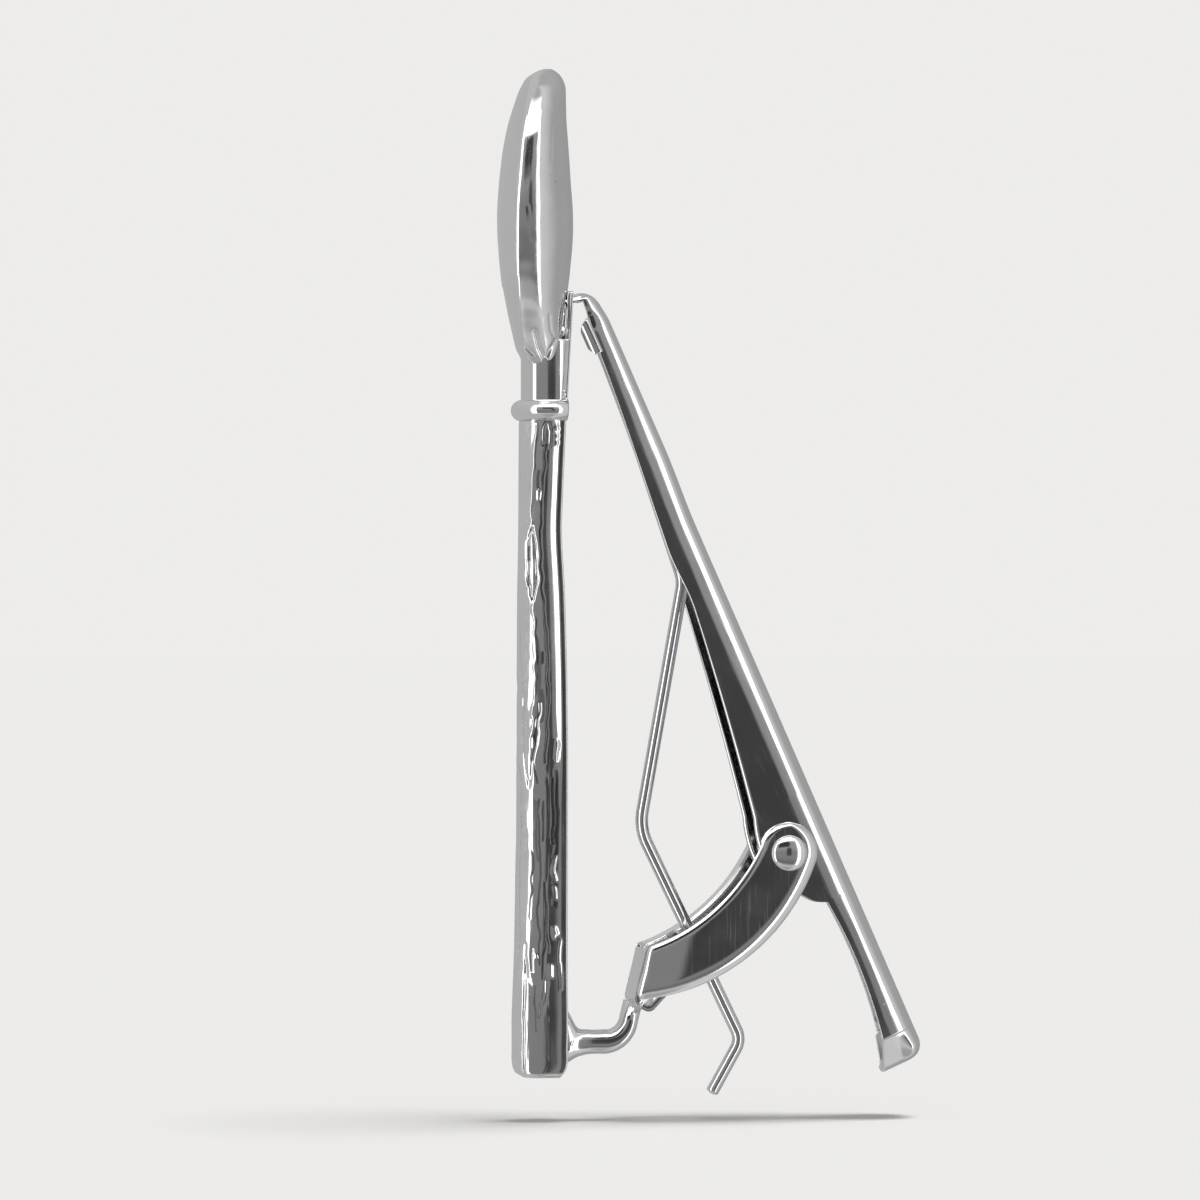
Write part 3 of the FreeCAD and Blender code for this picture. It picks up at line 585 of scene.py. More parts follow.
# %% Lever skin
def lever_skin(columns=81):
    """Rows along s, columns from the near free edge over the crown to the far one: flange, turn, oval."""
    s = np.concatenate([
        JAW_END + 1.25 * (1 - np.cos(np.linspace(0, math.pi / 2, 24))),
        np.linspace(JAW_END + 1.30, -4.5, 190)[:-1],
        np.linspace(-4.5, 5.5, 110)[:-1],
        np.linspace(5.5, 12.2, 60)[:-1],
        np.linspace(12.2, 13.0, 34)[:-1],
        THUMB_REACH - 1.5 + 1.5 * np.sin(np.linspace(0, math.pi / 2, 36)),
    ])
    pinch = 0.10 * np.exp(-((s - CRIMP_START + 0.75) / 0.5) ** 2)
    half = half_width(s) - corner_drop(s - JAW_END, 0.35) - pinch
    folded = np.maximum(0, s - LOBE + 0.05)
    top = CROWN - corner_drop(THUMB_REACH - s, 0.95) - corner_drop(s - JAW_END, 1.25)
    top = top + 0.16 * ramp(JAW_END + 0.8, JAW_END + 2.4, s) * ramp(-20.0, -25.0, s)
    v = np.linspace(-1, 1, columns)
    t = np.abs(v)
    edge = np.where(v < 0, flange_edge(s, True)[:, None], flange_edge(s, False)[:, None])
    half, top = half[:, None], top[:, None]
    edge = np.minimum(edge, top - 0.4)
    room = top - edge
    depth = np.minimum(shoulder_depth(s)[:, None], 0.66 * room)
    # The oval runs until it faces the angle turned, then the shoulder's arc, and the rest is straight
    turned = np.radians(75 + 2 * ramp(-14, -2, s))[:, None]
    shoulder = np.minimum(3.8, 0.80 * (room - depth) / np.cos(turned))
    wide = half - shoulder * (1 - np.sin(turned))
    last = np.arctan(wide / depth * np.tan(turned))
    wide = wide / np.sin(last)
    oval_share, turn_share = 0.46, 0.74
    oval = np.clip(t / oval_share, 0, 1) ** 0.8 * last
    swing = turned + np.clip((t - oval_share) / (turn_share - oval_share), 0, 1) * (math.pi / 2 - turned)
    down = np.clip((t - turn_share) / (1 - turn_share), 0, 1)
    y = wide * np.sin(oval) + shoulder * (np.sin(swing) - np.sin(turned))
    n = top - depth * (1 - np.cos(oval)) - shoulder * (np.cos(turned) - np.cos(swing))
    n = n - (room - depth * (1 - np.cos(last)) - shoulder * np.cos(turned)) * down
    drawn_in = np.clip(folded, 0, 0.08) * 1.2 + 0.36 * folded + corner_drop(THUMB_REACH - s, 0.40)
    y = y * (1 - drawn_in[:, None] * ramp(2.95, 1.40, n) / half)
    s_grid = np.repeat(s[:, None], columns, 1)
    return s_grid, y * np.sign(v), n


def close_end(s_grid, y, n, row, steps):
    """Rows that shrink the end row's arch to the middle of its open foot, which fills the end's face."""
    keep = np.linspace(1, 0, steps + 1)[1:, None]
    foot = n[row].min()
    return np.repeat(s_grid[row][None], steps, 0), y[row][None] * keep, foot + (n[row][None] - foot) * keep


s_grid, y_grid, n_grid = lever_skin()
jaw = [part[::-1] for part in close_end(s_grid, y_grid, n_grid, 0, 14)]
thumb = close_end(s_grid, y_grid, n_grid, -1, 22)
s_all, y_all, n_all = (np.concatenate(parts) for parts in zip(jaw, (s_grid, y_grid, n_grid)))
side = on_lever(s_all, n_all)
skin = np.stack([side[..., 0], y_all, side[..., 1]], -1)
last_row = (s_grid[-1:], y_grid[-1:], n_grid[-1:])
s_end, y_end, n_end = (np.concatenate(parts) for parts in zip(last_row, thumb))
side = on_lever(s_end - 0.01, n_end)
thumb_face = np.stack([side[..., 0], y_end * 0.995, side[..., 1]], -1)
print("the lever's skin has", skin.shape[0], "rows and", skin.shape[1], "columns")

# %% [markdown]
# ## Crimp tabs and the sheet's wall
# Two tabs near the jaw are curled in round the wire and hold it. Each is a leaf of the same sheet whose lean
# grows along its way. All grids together are one mesh, and Solidify makes the sheet's wall on its inner side.

# %% Crimp tabs and lever
TAB_LENGTH, LEVER_SHEET = 1.10, 0.26


def crimp_tab(side, rows=36, columns=30):
    """A leaf that runs down from the flange and curls in under the wire: its lean, summed up by steps."""
    s = np.linspace(CRIMP_START - 0.62, CRIMP_START + 1.55, rows)[:, None]
    place = (s - s[0]) / (s[-1] - s[0])
    reach = np.sin(np.clip(place / 0.45, 0, 1) * math.pi / 2) ** 0.6 * (1 - 0.40 * ramp(0.70, 1.0, place))
    travel = np.linspace(0, 1, columns)[None, :] * reach * TAB_LENGTH
    step = np.diff(travel, axis=1, prepend=0)
    lean = np.radians(-20 + 110 * (travel / TAB_LENGTH) ** 1.6)
    y = half_width(s) - 0.10 + 0.16 * ramp(0.0, 0.25, travel) - np.cumsum(np.sin(lean) * step, 1)
    n = CROWN - (0.98 if side < 0 else 0.62) - np.cumsum(np.cos(lean) * step, 1)
    spot = on_lever(s + 0 * n, n)
    return np.stack([spot[..., 0], side * y, spot[..., 1]], -1)


tabs = [(crimp_tab(-1)[:, ::-1], False), (crimp_tab(1), False)]
lever = make_piece("pressed_lever", [(skin, False), (thumb_face, False)] + tabs, flip=True)


def sheet_metal(piece, thickness, offset):
    """Solidify gives a skin its wall: inwards where the offset is -1, to both sides where it is 0."""
    wall = piece.modifiers.new("wall", "SOLIDIFY")
    wall.thickness = thickness * MM
    wall.offset = offset
    wall.use_quality_normals = True


sheet_metal(lever, LEVER_SHEET, -1)

# %% [markdown]
# ## The spring wire
# One bent wire is held by the crimp at the jaw, rests on the bracket's tongue and ends in a hook. It is a
# circle carried along straight runs and arcs, and it is one unbroken tube.

# %% Wire
WIRE_SEAT, WIRE_RADIUS = CROWN - 0.78, 0.38
WIRE_CORNERS = np.array([
    on_lever(CRIMP_START, WIRE_SEAT), on_lever(CRIMP_END + 0.5, WIRE_SEAT),
    PIVOT + (-6.00, 16.21), PIVOT + (-8.62, 1.45), PIVOT + (-2.50, -11.23), PIVOT + (-4.20, -14.28),
])
WIRE_BENDS = [4.00, 2.20, 3.20, 1.20]


def eased_path(corners, bends, step=0.08):
    """Straight runs with a tangent arc at each inner corner, as points a short step apart."""
    path = [corners[0]]
    for before, corner, after, radius in zip(corners, corners[1:], corners[2:], bends):
        back = (before - corner) / np.linalg.norm(before - corner)
        ahead = (after - corner) / np.linalg.norm(after - corner)
        half_angle = math.acos(np.clip(back @ ahead, -1, 1)) / 2
        cut = radius / math.tan(half_angle)
        middle = (back + ahead) / np.linalg.norm(back + ahead)
        centre = corner + middle * radius / math.sin(half_angle)
        start, end = corner + back * cut - centre, corner + ahead * cut - centre
        first, last = math.atan2(start[1], start[0]), math.atan2(end[1], end[0])
        swing = (last - first + math.pi) % (2 * math.pi) - math.pi
        count = max(6, int(abs(swing) * radius / step))
        turn = first + np.linspace(0, swing, count)
        path += [centre + radius * np.array([math.cos(a), math.sin(a)]) for a in turn]
    path.append(corners[-1])
    path = np.array(path)
    length = np.concatenate([[0], np.cumsum(np.linalg.norm(np.diff(path, axis=0), axis=1))])
    even = np.linspace(0, length[-1], int(length[-1] / step))
    return np.stack([np.interp(even, length, path[:, 0]), np.interp(even, length, path[:, 1])], -1)


def tube(path, radius, columns=32, rounding=6):
    """A circle square to a side-view path at every point; each end is closed by a small round."""
    heading = np.gradient(path, axis=0)
    heading /= np.linalg.norm(heading, axis=1, keepdims=True)
    ease = np.linspace(0, math.pi / 2, rounding, endpoint=False)
    first = path[0] + np.outer(-radius * 0.5 * np.cos(ease), heading[0])
    last = path[-1] + np.outer(radius * 0.5 * np.sin(ease + (math.pi / 2) / rounding), heading[-1])
    line = np.concatenate([first, path, last])
    heading = heading[np.clip(np.arange(-rounding, len(path) + rounding), 0, len(path) - 1)]
    size = np.concatenate([radius * np.sin(ease), np.full(len(path), radius), radius * np.cos(
        ease + (math.pi / 2) / rounding)])
    turn = np.linspace(0, 2 * math.pi, columns, endpoint=False)
    side = np.stack([heading[:, 1], -heading[:, 0]], -1)
    x = line[:, 0][:, None] + np.outer(size, np.cos(turn)) * side[:, :1]
    z = line[:, 1][:, None] + np.outer(size, np.cos(turn)) * side[:, 1:]
    y = np.outer(size, np.sin(turn))
    return np.stack([x, y, z], -1)


wire_path = eased_path(WIRE_CORNERS, WIRE_BENDS)
wire = make_piece("bent_wire", [(tube(wire_path, WIRE_RADIUS), True)])
print(f"the wire is {np.linalg.norm(np.diff(wire_path, axis=0), axis=1).sum():.1f} mm long")

# %% [markdown]
# ## The hinge bracket
# The bracket is folded from sheet: a web that is soldered to the post, two ears that sweep up to the rivet,
# and a tongue that the wire rests on. The ears are ruled between their upper and lower edges, and near the
# web the sheet turns the corner on a small radius.

# %% Bracket
WEB_LEAN = math.radians(13.3)
WEB_IN = np.array([math.cos(WEB_LEAN), -math.sin(WEB_LEAN)])
WEB_DOWN = np.array([-math.sin(WEB_LEAN), -math.cos(WEB_LEAN)])
WEB_TOP = PIVOT - (8.56, 5.68)
WEB_LOW = WEB_TOP + WEB_DOWN * 3.35
EAR_LOW = WEB_LOW - WEB_DOWN * 0.35
SHEET = 0.38
EAR_MIDDLE, EAR_RADIUS, FOLD = 2.60 - SHEET / 2, 1.64, 0.50 - SHEET / 2
EAR_FROM, EAR_TIP, EAR_TO = 165, 77.5, -10


def round_end(first, last, count):
    """Points of the ear's round end about the pivot, from one angle in degrees to the other."""
    turn = np.radians(np.linspace(first, last, count))
    return PIVOT + EAR_RADIUS * np.stack([np.cos(turn), np.sin(turn)], -1)


def ear_edge(web_end, angle, sag):
    """One edge of the ear: an arc from the web that sags by that much, then the round end up to its tip."""
    turned = round_end(angle, EAR_TIP, 24)
    return np.concatenate([arc_between(web_end, turned[0], sag, 60), turned[1:]])


def bracket_sheet(columns=25):
    """Middle surface: half of the web, the fold and one ear, from the middle plane outwards."""
    upper, lower = ear_edge(WEB_TOP, EAR_FROM, 0.98), ear_edge(EAR_LOW, EAR_TO, 2.12)
    share = np.linspace(0, 1, columns)[:, None]
    ear = upper[:, None] * (1 - share) + lower[:, None] * share
    away = (ear - WEB_TOP) @ WEB_IN
    centre = SHEET / 2 + FOLD
    turn = np.arccos(np.clip((centre - away) / FOLD, -1, 1) * (away < centre))
    y = np.where(away < centre, EAR_MIDDLE - FOLD + FOLD * np.sin(turn), EAR_MIDDLE)
    across = np.linalg.norm(lower - upper, axis=-1)[:, None]
    low_rim = np.clip(1 - across * (1 - share.T) / 0.75, 0, 1)
    high_rim = np.clip(1 - across * share.T / 0.30, 0, 1)
    y = y - 0.22 * low_rim**2.5 - 0.10 * high_rim**2 - 0.28 * np.clip(1 - (away - centre) / 2.8, 0, 1) ** 2
    ear = ear + WEB_IN * np.maximum(SHEET / 2 - away, 0)[..., None]
    half = np.concatenate([ear, y[..., None]], -1)[..., [0, 2, 1]]
    web = np.repeat(half[:1], 12, 0)
    web[..., 1] = np.linspace(0, 1, 12, endpoint=False)[:, None] * half[0, 0, 1]
    half = np.concatenate([web, half])
    mirror = half[:0:-1] * (1, -1, 1)
    return np.concatenate([mirror, half])


def tongue_sheet(columns=17):
    """Middle surface of a strip that lies on the web, leaves it below, dips and then rises to the wire."""
    root = WEB_LOW + (WEB_IN - WEB_DOWN) * (SHEET / 2)
    dip = root + (0.95, -0.55)
    rise = np.array([math.cos(math.radians(47)), math.sin(math.radians(47))])
    run = (WIRE_CORNERS[4] - WIRE_CORNERS[3]) / np.linalg.norm(WIRE_CORNERS[4] - WIRE_CORNERS[3])
    to_wire = np.array([-run[1], run[0]])
    stop = WIRE_RADIUS + 0.02 + abs(rise @ run) * SHEET / 2
    reach = ((WIRE_CORNERS[3] - dip) @ to_wire - stop) / (rise @ to_wire)
    inset = WEB_IN * 0.03
    start = WEB_TOP + WEB_IN * SHEET / 2 + WEB_DOWN * 1.5 + inset
    line = eased_path(np.array([start, root + inset, dip, dip + rise * reach]), [0.35, 0.30], 0.05)
    length = np.concatenate([[0], np.cumsum(np.linalg.norm(np.diff(line, axis=0), axis=1))])
    half = 0.95 + 1.10 * (1 - ramp(1.75, 2.1, length))
    y = half[:, None] * np.linspace(-1, 1, columns)
    return np.stack([np.repeat(line[:, :1], columns, 1), y, np.repeat(line[:, 1:], columns, 1)], -1)


bracket = make_piece("folded_bracket", [(bracket_sheet(), False), (tongue_sheet(), False)])
sheet_metal(bracket, SHEET, 0)
edge = bracket.modifiers.new("edge", "BEVEL")
edge.width = 0.06 * MM
edge.segments = 2
edge.limit_method = "ANGLE"
edge.angle_limit = math.radians(50)

# %% [markdown]
# ## The rivet
# The hinge pin has a domed head outside each ear. It is a profile turned about the hinge line.

# %% Rivet
def rivet_surface(columns=72):
    """Profile of radius against y: pole, dome, rim, pin, rim, dome, pole, turned about the pivot."""
    seat, rim, high, pin = 2.61, 1.06, 0.43, 0.60
    turn = np.linspace(0, math.pi / 2, 40)
    radius = np.concatenate([rim * np.sin(turn), [rim, pin]])
    y = np.concatenate([seat + high * np.cos(turn) ** 0.62 * (1 - 0.10 * np.sin(turn) ** 2), [seat, seat]])
    radius, y = np.concatenate([radius, radius[::-1]]), np.concatenate([y, -y[::-1]])
    around = np.linspace(0, 2 * math.pi, columns, endpoint=False)
    x = PIVOT[0] + np.outer(radius, np.cos(around))
    z = PIVOT[1] + np.outer(radius, np.sin(around))
    return np.stack([x, np.repeat(y[:, None], columns, 1), z], -1)


rivet = make_piece("domed_rivet", [(rivet_surface(), True)])

# %% [markdown]
# ## The post
# A short cast foot leaves the shaft, turns up on a bend and meets the web. It is a squarish oval carried
# along a straight run and an arc, and it widens at the shaft, where the solder has flowed.

# %% Post
POST_LOW, POST_BEND, POST_TALL, POST_WIDE, POST_TOP, POST_POWER = 11.28, 1.5, 1.44, 1.90, 1.07, 3


def post_surface(columns=64):
    """Squarish ovals square to the foot's middle line; height and width flare towards the shaft."""
    end = WEB_LOW + WEB_IN * (SHEET * 0.75) - WEB_DOWN * (SHEET / 4)
    corner = end + WEB_DOWN * ((end[1] - (PIVOT[1] - POST_LOW)) / -WEB_DOWN[1])
    turn = math.pi / 2 - WEB_LEAN
    bend_start = corner - np.array([POST_BEND * math.tan(turn / 2), 0])
    start = np.array([-0.71, corner[1]])
    share = np.linspace(0, 1, 60)
    knots = [0.0, 0.20, 0.38, 0.66, 1.0]
    tall = flowing(share, knots, [2.90, 2.10, 1.28, 1.0, 1.0]) * POST_TALL
    wide = flowing(share, knots, [1.28, 1.20, 1.08, 1.0, 1.0]) * POST_WIDE
    lift = flowing(share, knots, [0.45, 0.22, 0.01, 0.0, 0.0]) * POST_TALL
    run = start + np.outer(share, bend_start - start) + np.outer(lift, (0, 1))
    angles = np.linspace(0, turn, 30)[1:]
    bend = bend_start + (0, POST_BEND) + POST_BEND * np.stack([np.sin(angles), -np.cos(angles)], -1)
    line = np.concatenate([run, bend, [end]])
    heading = np.concatenate([np.repeat([[1.0, 0.0]], 60, 0), np.stack([np.cos(angles), np.sin(angles)], -1),
                              [-WEB_DOWN]])
    tall = np.concatenate([tall, POST_TALL + (POST_TOP - POST_TALL) * angles / turn, [POST_TOP]])
    wide = np.concatenate([wide, np.full(30, POST_WIDE)])
    around = np.linspace(0, 2 * math.pi, columns, endpoint=False)
    up = np.stack([-heading[:, 1], heading[:, 0]], -1)
    square = squarish(around, POST_POWER)
    x = line[:, :1] + np.outer(tall / 2, np.sin(around) * square) * up[:, :1]
    z = line[:, 1:] + np.outer(tall / 2, np.sin(around) * square) * up[:, 1:]
    y = np.outer(wide / 2, np.cos(around) * square)
    return with_poles(np.stack([x, y, z], -1))


FOOT_DROPS = [
    ((-0.52, -0.95, FOOT + 2.85), (0.34, 0.30, 0.42), 41),
    ((-0.50, -0.80, FOOT + 1.15), (0.30, 0.28, 0.36), 42),
    ((-0.45, 0.95, FOOT + 2.60), (0.30, 0.30, 0.50), 43),
    ((-0.15, -0.98, FOOT + 2.05), (0.26, 0.16, 0.30), 44),
]
drops = [(solder_drop(*drop), True) for drop in FOOT_DROPS]
post = make_piece("cast_post", [(post_surface(), True)] + drops)

# %% [markdown]
# ## Riding on the bodies
# Every piece but the wire stands for its node and rides on its body. The wire crosses the hinge, from its
# hooked end at the bar to its crimped end at the lever; its node is hidden and it rides on no body.

# %% Bodies and nodes
for piece, body, node, finish in (
    (head, "bar", "head", "plated_casting"),
    (collar, "bar", "collar", "plated_casting"),
    (shaft, "bar", "shaft", "plated_casting"),
    (post, "bar", "post", "plated_casting"),
    (strip, "bar", "back_strip", "plated_sheet"),
    (bracket, "bar", "hinge_bracket", "plated_sheet"),
    (rivet, "bar", "hinge_rivet", "plated_sheet"),
    (lever, "clasp", "clasp_lever", "plated_sheet"),
):
    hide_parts(node)
    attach(piece, body)
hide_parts("spring_wire")
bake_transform(wire)

# %% [markdown]
# ## Bright plating
# The whole clip is plated and polished, so it mirrors the studio. Handling leaves hairlines that run along
# each piece, a roughness that wanders, and a few pits. Hollows get a painted shade and sharp edges a painted
# highlight, both read from the mesh's pointiness. Where a piece carries painted shade, that darkens it too.
# All patterns read Object coordinates, turned by the piece's lean so that the hairlines run along it.

# %% Plated finish
def plating(name, colour, rough, lean=0.0, hollow_shade=0.6, line_depth=0.10):
    """Metal: roughness is clouds plus hairlines; colour falls in pits, with painted shade in hollows and
    cracks and a painted highlight on edges.
    """
    material = bpy.data.materials.new(name)
    material.use_nodes = True
    tree = material.node_tree
    shader = tree.nodes["Principled BSDF"]
    shader.inputs["Metallic"].default_value = 1.0

    def add(kind, **values):
        node = tree.nodes.new(kind)
        for key, value in values.items():
            setattr(node, key, value)
        return node

    def spread(source, low, high, to_low, to_high):
        node = add("ShaderNodeMapRange")
        for key, value in (("From Min", low), ("From Max", high), ("To Min", to_low), ("To Max", to_high)):
            node.inputs[key].default_value = value
        tree.links.new(source, node.inputs["Value"])
        return node.outputs["Result"]

    def noise(vector, scale, detail):
        node = add("ShaderNodeTexNoise")
        node.inputs["Scale"].default_value, node.inputs["Detail"].default_value = scale, detail
        tree.links.new(vector, node.inputs["Vector"])
        return node.outputs["Fac"]

    def join(operation, first, second):
        node = add("ShaderNodeMath", operation=operation)
        tree.links.new(first, node.inputs[0])
        if isinstance(second, float):
            node.inputs[1].default_value = second
        else:
            tree.links.new(second, node.inputs[1])
        return node.outputs[0]

    place = add("ShaderNodeTexCoord").outputs["Object"]
    turned = add("ShaderNodeMapping")
    turned.inputs["Rotation"].default_value = (0, lean, 0)
    stretched = add("ShaderNodeMapping")
    stretched.inputs["Scale"].default_value = (1.0, 1.0, 0.03)
    tree.links.new(place, turned.inputs["Vector"])
    tree.links.new(turned.outputs[0], stretched.inputs["Vector"])
    lines = noise(stretched.outputs[0], 9000, 2)
    hairlines = spread(lines, 0.60, 0.70, 0.0, 1.0)
    clouds = noise(place, 420, 4)
    pits = add("ShaderNodeTexVoronoi")
    pits.inputs["Scale"].default_value = 1400
    tree.links.new(place, pits.inputs["Vector"])
    pitted = join("MULTIPLY", spread(pits.outputs["Distance"], 0.06, 0.10, 1.0, 0.0),
                  spread(noise(place, 260, 1), 0.56, 0.62, 0.0, 1.0))
    worn = join("ADD", spread(clouds, 0.3, 0.7, rough * 0.55, rough * 1.5), join("MULTIPLY", hairlines, 0.07))
    tree.links.new(join("ADD", worn, join("MULTIPLY", pitted, 0.25)), shader.inputs["Roughness"])
    bend = add("ShaderNodeNewGeometry").outputs["Pointiness"]
    # Painted shade in hollows and a painted highlight on sharp edges, both read from the mesh's pointiness
    shade = join("MULTIPLY", spread(bend, 0.40, 0.50, hollow_shade, 1.0), spread(bend, 0.52, 0.60, 1.0, 1.08))
    worn_shade = join("SUBTRACT", spread(clouds, 0.3, 0.7, 0.96, 1.02), join("MULTIPLY", pitted, 0.45))
    shade = join("MULTIPLY", shade, worn_shade)
    # Painted shade of the cracks, read from the point attribute, darkens the colour
    crack_shade = add("ShaderNodeAttribute", attribute_name="painted_shade")
    shade = join("MULTIPLY", shade, spread(crack_shade.outputs["Fac"], 0.0, 1.0, 1.0, 0.0))
    tint = add("ShaderNodeVectorMath", operation="SCALE")
    tint.inputs[0].default_value = colour
    tree.links.new(shade, tint.inputs["Scale"])
    tree.links.new(tint.outputs[0], shader.inputs["Base Color"])
    bump = add("ShaderNodeBump")
    bump.inputs["Strength"].default_value, bump.inputs["Distance"].default_value = line_depth, 0.00002
    height = join("SUBTRACT", join("ADD", clouds, join("MULTIPLY", lines, 0.4)), pitted)
    tree.links.new(height, bump.inputs["Height"])
    tree.links.new(bump.outputs[0], shader.inputs["Normal"])
    return material


for material, pieces in (
    (plating("bright_casting", (0.80, 0.80, 0.80), 0.10, hollow_shade=0.45), (head, collar, shaft, post)),
    (plating("bright_sheet", (0.81, 0.81, 0.82), 0.08), (strip, bracket, rivet)),
    (plating("bright_lever", (0.81, 0.81, 0.82), 0.08, lean=LEVER_LEAN, hollow_shade=0.35), (lever,)),
    (plating("bright_wire", (0.76, 0.76, 0.77), 0.10, line_depth=0.2), (wire,)),
):
    for piece in pieces:
        piece.data.materials.append(material)
    print(material.name, "on", ", ".join(piece.name for piece in pieces))

# %% [markdown]
# ## The studio
# The clip stands upright before a pale background, and the camera looks at it through a long lens from a
# little to its left. A soft sun lights the floor from above.

# %% Camera, floor and sun
CAMERA_AWAY, FOCAL_LENGTH, SENSOR = 0.375, 188.66, 36
stage_scene = bpy.context.scene
stage_scene.view_settings.view_transform = "Standard"
LOOK = Vector((LOOK_X * MM, 0, LOOK_Z * MM))
SIGHT = Vector((math.sin(AIM), math.cos(AIM), 0))
lens = bpy.data.cameras.new("camera")
camera = bpy.data.objects.new("camera", lens)
bpy.context.collection.objects.link(camera)
camera.location = LOOK - SIGHT * CAMERA_AWAY
camera.rotation_euler = (math.pi / 2, 0, -AIM)
lens.lens, lens.sensor_width, lens.clip_start = FOCAL_LENGTH, SENSOR, 0.01
stage_scene.camera = camera
print("the camera stands at", [round(value, 4) for value in camera.location])

PALE = (0.847, 0.839, 0.823)
FLOOR, FLOOR_HALF = -0.0487, 3
corners = [(x * FLOOR_HALF, y * FLOOR_HALF, FLOOR) for x, y in ((-1, -1), (1, -1), (1, 1), (-1, 1))]
floor_mesh = bpy.data.meshes.new("floor")
floor_mesh.from_pydata(corners, [], [(0, 1, 2, 3)])
floor = bpy.data.objects.new("floor", floor_mesh)
bpy.context.collection.objects.link(floor)
floor_paint = bpy.data.materials.new("floor_paint")
floor_paint.use_nodes = True
floor_shader = floor_paint.node_tree.nodes["Principled BSDF"]
for entry, value in (("Base Color", (*PALE, 1)), ("Roughness", 0.9), ("Specular IOR Level", 0.0)):
    floor_shader.inputs[entry].default_value = value
floor_mesh.materials.append(floor_paint)
floor.visible_glossy = False

sun_lamp = bpy.data.lights.new("overhead_sun", "SUN")
sun_lamp.energy, sun_lamp.angle = 1.903, math.radians(22)
sun = bpy.data.objects.new("overhead_sun", sun_lamp)
bpy.context.collection.objects.link(sun)
sun.rotation_euler = (0, math.radians(10), 0)
sun.visible_glossy = False

# %% [markdown]
# ## The background
# The pale colour is what the lens sees of the world, straight or through a reflection. Everything else gets
# a dimmer white light, so the background is pale without more light on the clip. Light Path tells such rays
# from the others.

# %% World
world = bpy.data.worlds.new("studio")
stage_scene.world = world
world.use_nodes = True
tree = world.node_tree
for node in list(tree.nodes):
    tree.nodes.remove(node)
output = tree.nodes.new("ShaderNodeOutputWorld")
seen, unseen = tree.nodes.new("ShaderNodeBackground"), tree.nodes.new("ShaderNodeBackground")
seen.inputs["Color"].default_value = (*PALE, 1)
unseen.inputs["Color"].default_value = (1, 1, 1, 1)
unseen.inputs["Strength"].default_value = 0.40
path = tree.nodes.new("ShaderNodeLightPath")
either, any_of = tree.nodes.new("ShaderNodeMath"), tree.nodes.new("ShaderNodeMath")
either.operation = any_of.operation = "MAXIMUM"
mix = tree.nodes.new("ShaderNodeMixShader")
tree.links.new(path.outputs["Is Camera Ray"], either.inputs[0])
tree.links.new(path.outputs["Is Glossy Ray"], either.inputs[1])
tree.links.new(either.outputs[0], any_of.inputs[0])
tree.links.new(path.outputs["Is Transmission Ray"], any_of.inputs[1])
tree.links.new(any_of.outputs[0], mix.inputs["Fac"])
tree.links.new(unseen.outputs[0], mix.inputs[1])
tree.links.new(seen.outputs[0], mix.inputs[2])
tree.links.new(mix.outputs[0], output.inputs["Surface"])
print("the world has strength 1 for what is seen, and 0.40 for what only lights")

# %% [markdown]
# ## The light tent
# Polished metal has no colour of its own to show: it shows the room. The clip stands in a light tent, and
# the tent is painted by direction. Round the lens it is dark, with a darker stand and hood in it. A lit
# band lies above, one at each side and a faint one below, and all the rest is grey cloth. Each patch is a
# product of ramps, so its edges are soft. Only the metal sees the tent, so the background stays plain.

# %% A tent painted by direction
TENT_MIDDLE, TENT_RADIUS, LIT = np.array([0, 0, -17.7]), 800, 1.9


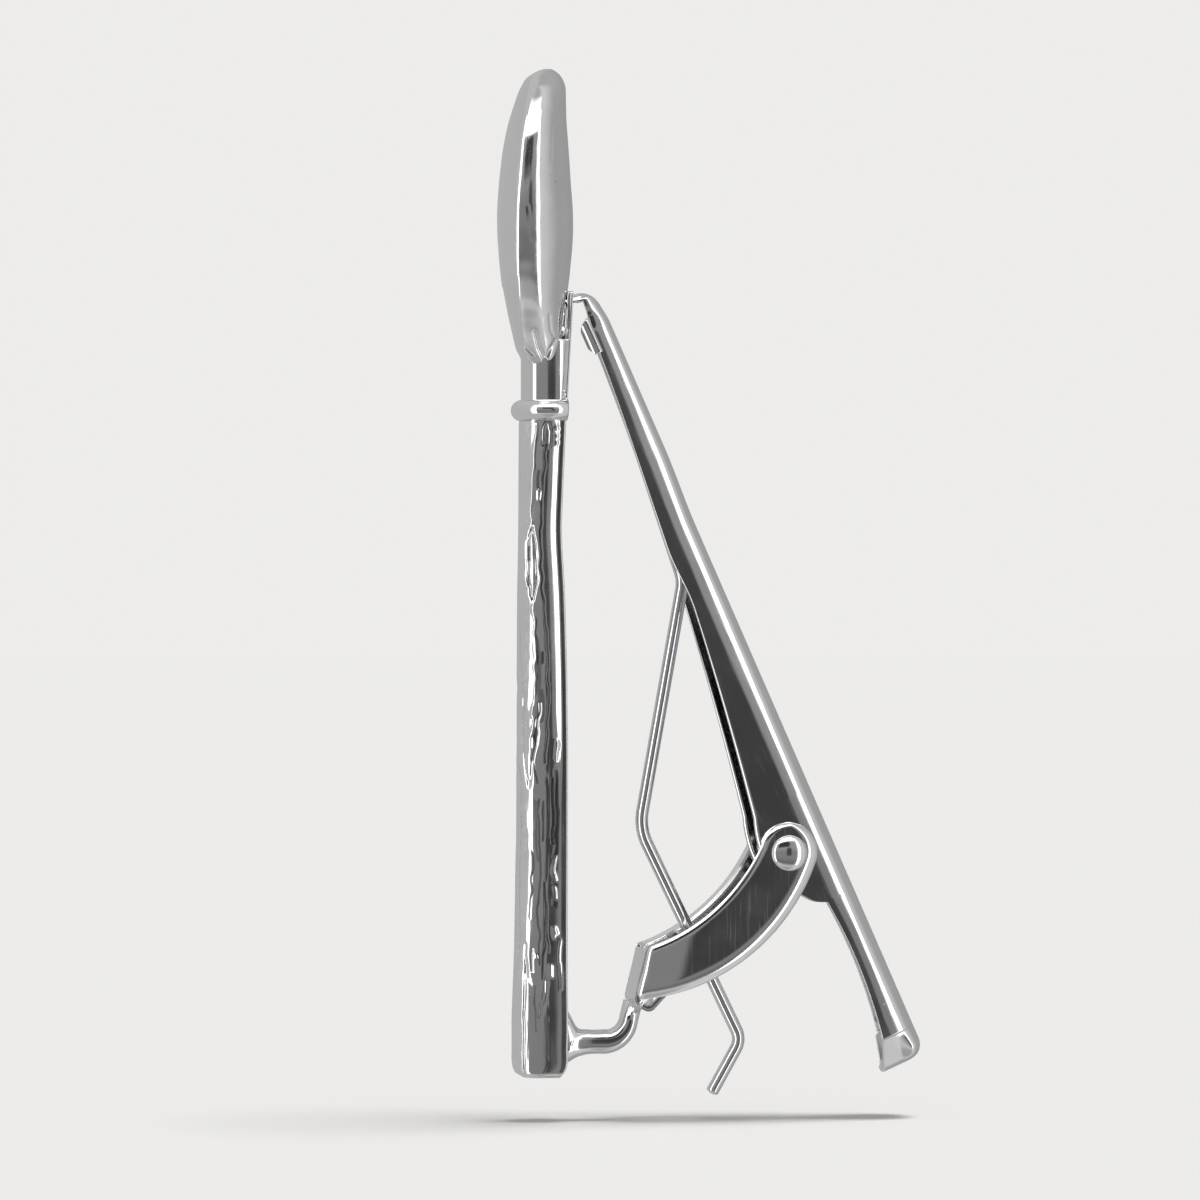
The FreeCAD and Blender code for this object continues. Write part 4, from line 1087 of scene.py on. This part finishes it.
def tent_level(across, height):
    """Brightness for an angle across from the lens, positive to its right, and a height angle, in degrees."""
    wide, tall = np.abs(across), np.abs(height)
    away = np.degrees(np.arccos(np.clip(np.cos(np.radians(across)) * np.cos(np.radians(height)), -1, 1)))
    cloth = 0.40 + 0.26 * ramp(110, 55, across) * ramp(20, 50, across) + 0.12 * ramp(0, -40, across)
    cloth = cloth + 0.06 * ramp(0, 60, height) - 0.06 * ramp(120, 175, away)
    front = 0.32 - 0.08 * ramp(8, 0, height) - 0.07 * ramp(-12, -25, height)
    inside = ramp(39, 35, wide) * ramp(33, 29, tall)
    level = cloth + (front - cloth) * inside
    stand = ramp(8.5, 12.5, across) * ramp(23.5, 19.5, across) * ramp(-10, -6, height) * ramp(11, 7, height)
    level = level * (1 - 0.78 * stand)
    hood = ramp(21, 18, wide + 0.45 * np.abs(height - 20)) * ramp(9.5, 8.0, np.abs(height - 20.5))
    level = level * (1 - 0.88 * hood)
    top = ramp(30, 32, height) * ramp(72, 58, height) * ramp(42, 34, wide)
    rim = np.where(across < 0, 55, 47)
    sides = ramp(35, 38, wide) * ramp(rim, rim - 3, wide) * ramp(-38, -28, height) * ramp(52, 44, height)
    foot = 0.10 * ramp(-36, -39, height) * ramp(-47, -43, height) * ramp(44, 36, wide)
    return level + LIT * np.maximum.reduce([top, sides, foot])


def tent_surface(columns=360, rows=180):
    """A sphere round the clip: directions times the radius; its columns start behind the clip."""
    turn = np.radians(np.linspace(-180, 180, columns, endpoint=False))[None, :] - AIM
    rise = np.radians(np.linspace(-90, 90, rows))[:, None]
    direction = [np.cos(rise) * np.sin(turn), -np.cos(rise) * np.cos(turn), np.sin(rise) + 0 * turn]
    return TENT_RADIUS * np.stack(direction, -1) + TENT_MIDDLE


tent = make_piece("light_tent", [(tent_surface(), True)])
place = np.empty(len(tent.data.vertices) * 3)
tent.data.vertices.foreach_get("co", place)
place = place.reshape(-1, 3) - TENT_MIDDLE * MM
across = (np.degrees(np.arctan2(place[:, 0], -place[:, 1]) + AIM) + 180) % 360 - 180
height = np.degrees(np.arcsin(np.clip(place[:, 2] / np.linalg.norm(place, axis=1), -1, 1)))
glow = tent.data.attributes.new("glow", "FLOAT", "POINT")
glow.data.foreach_set("value", tent_level(across, height).astype(np.float32))
cloth = bpy.data.materials.new("tent_cloth")
cloth.use_nodes = True
nodes = cloth.node_tree.nodes
nodes.remove(nodes["Principled BSDF"])
lamp = nodes.new("ShaderNodeEmission")
reading = nodes.new("ShaderNodeAttribute")
reading.attribute_name = "glow"
cloth.node_tree.links.new(reading.outputs["Fac"], lamp.inputs["Strength"])
cloth.node_tree.links.new(lamp.outputs[0], nodes["Material Output"].inputs["Surface"])
tent.data.materials.append(cloth)
tent.visible_camera = tent.visible_diffuse = tent.visible_shadow = False
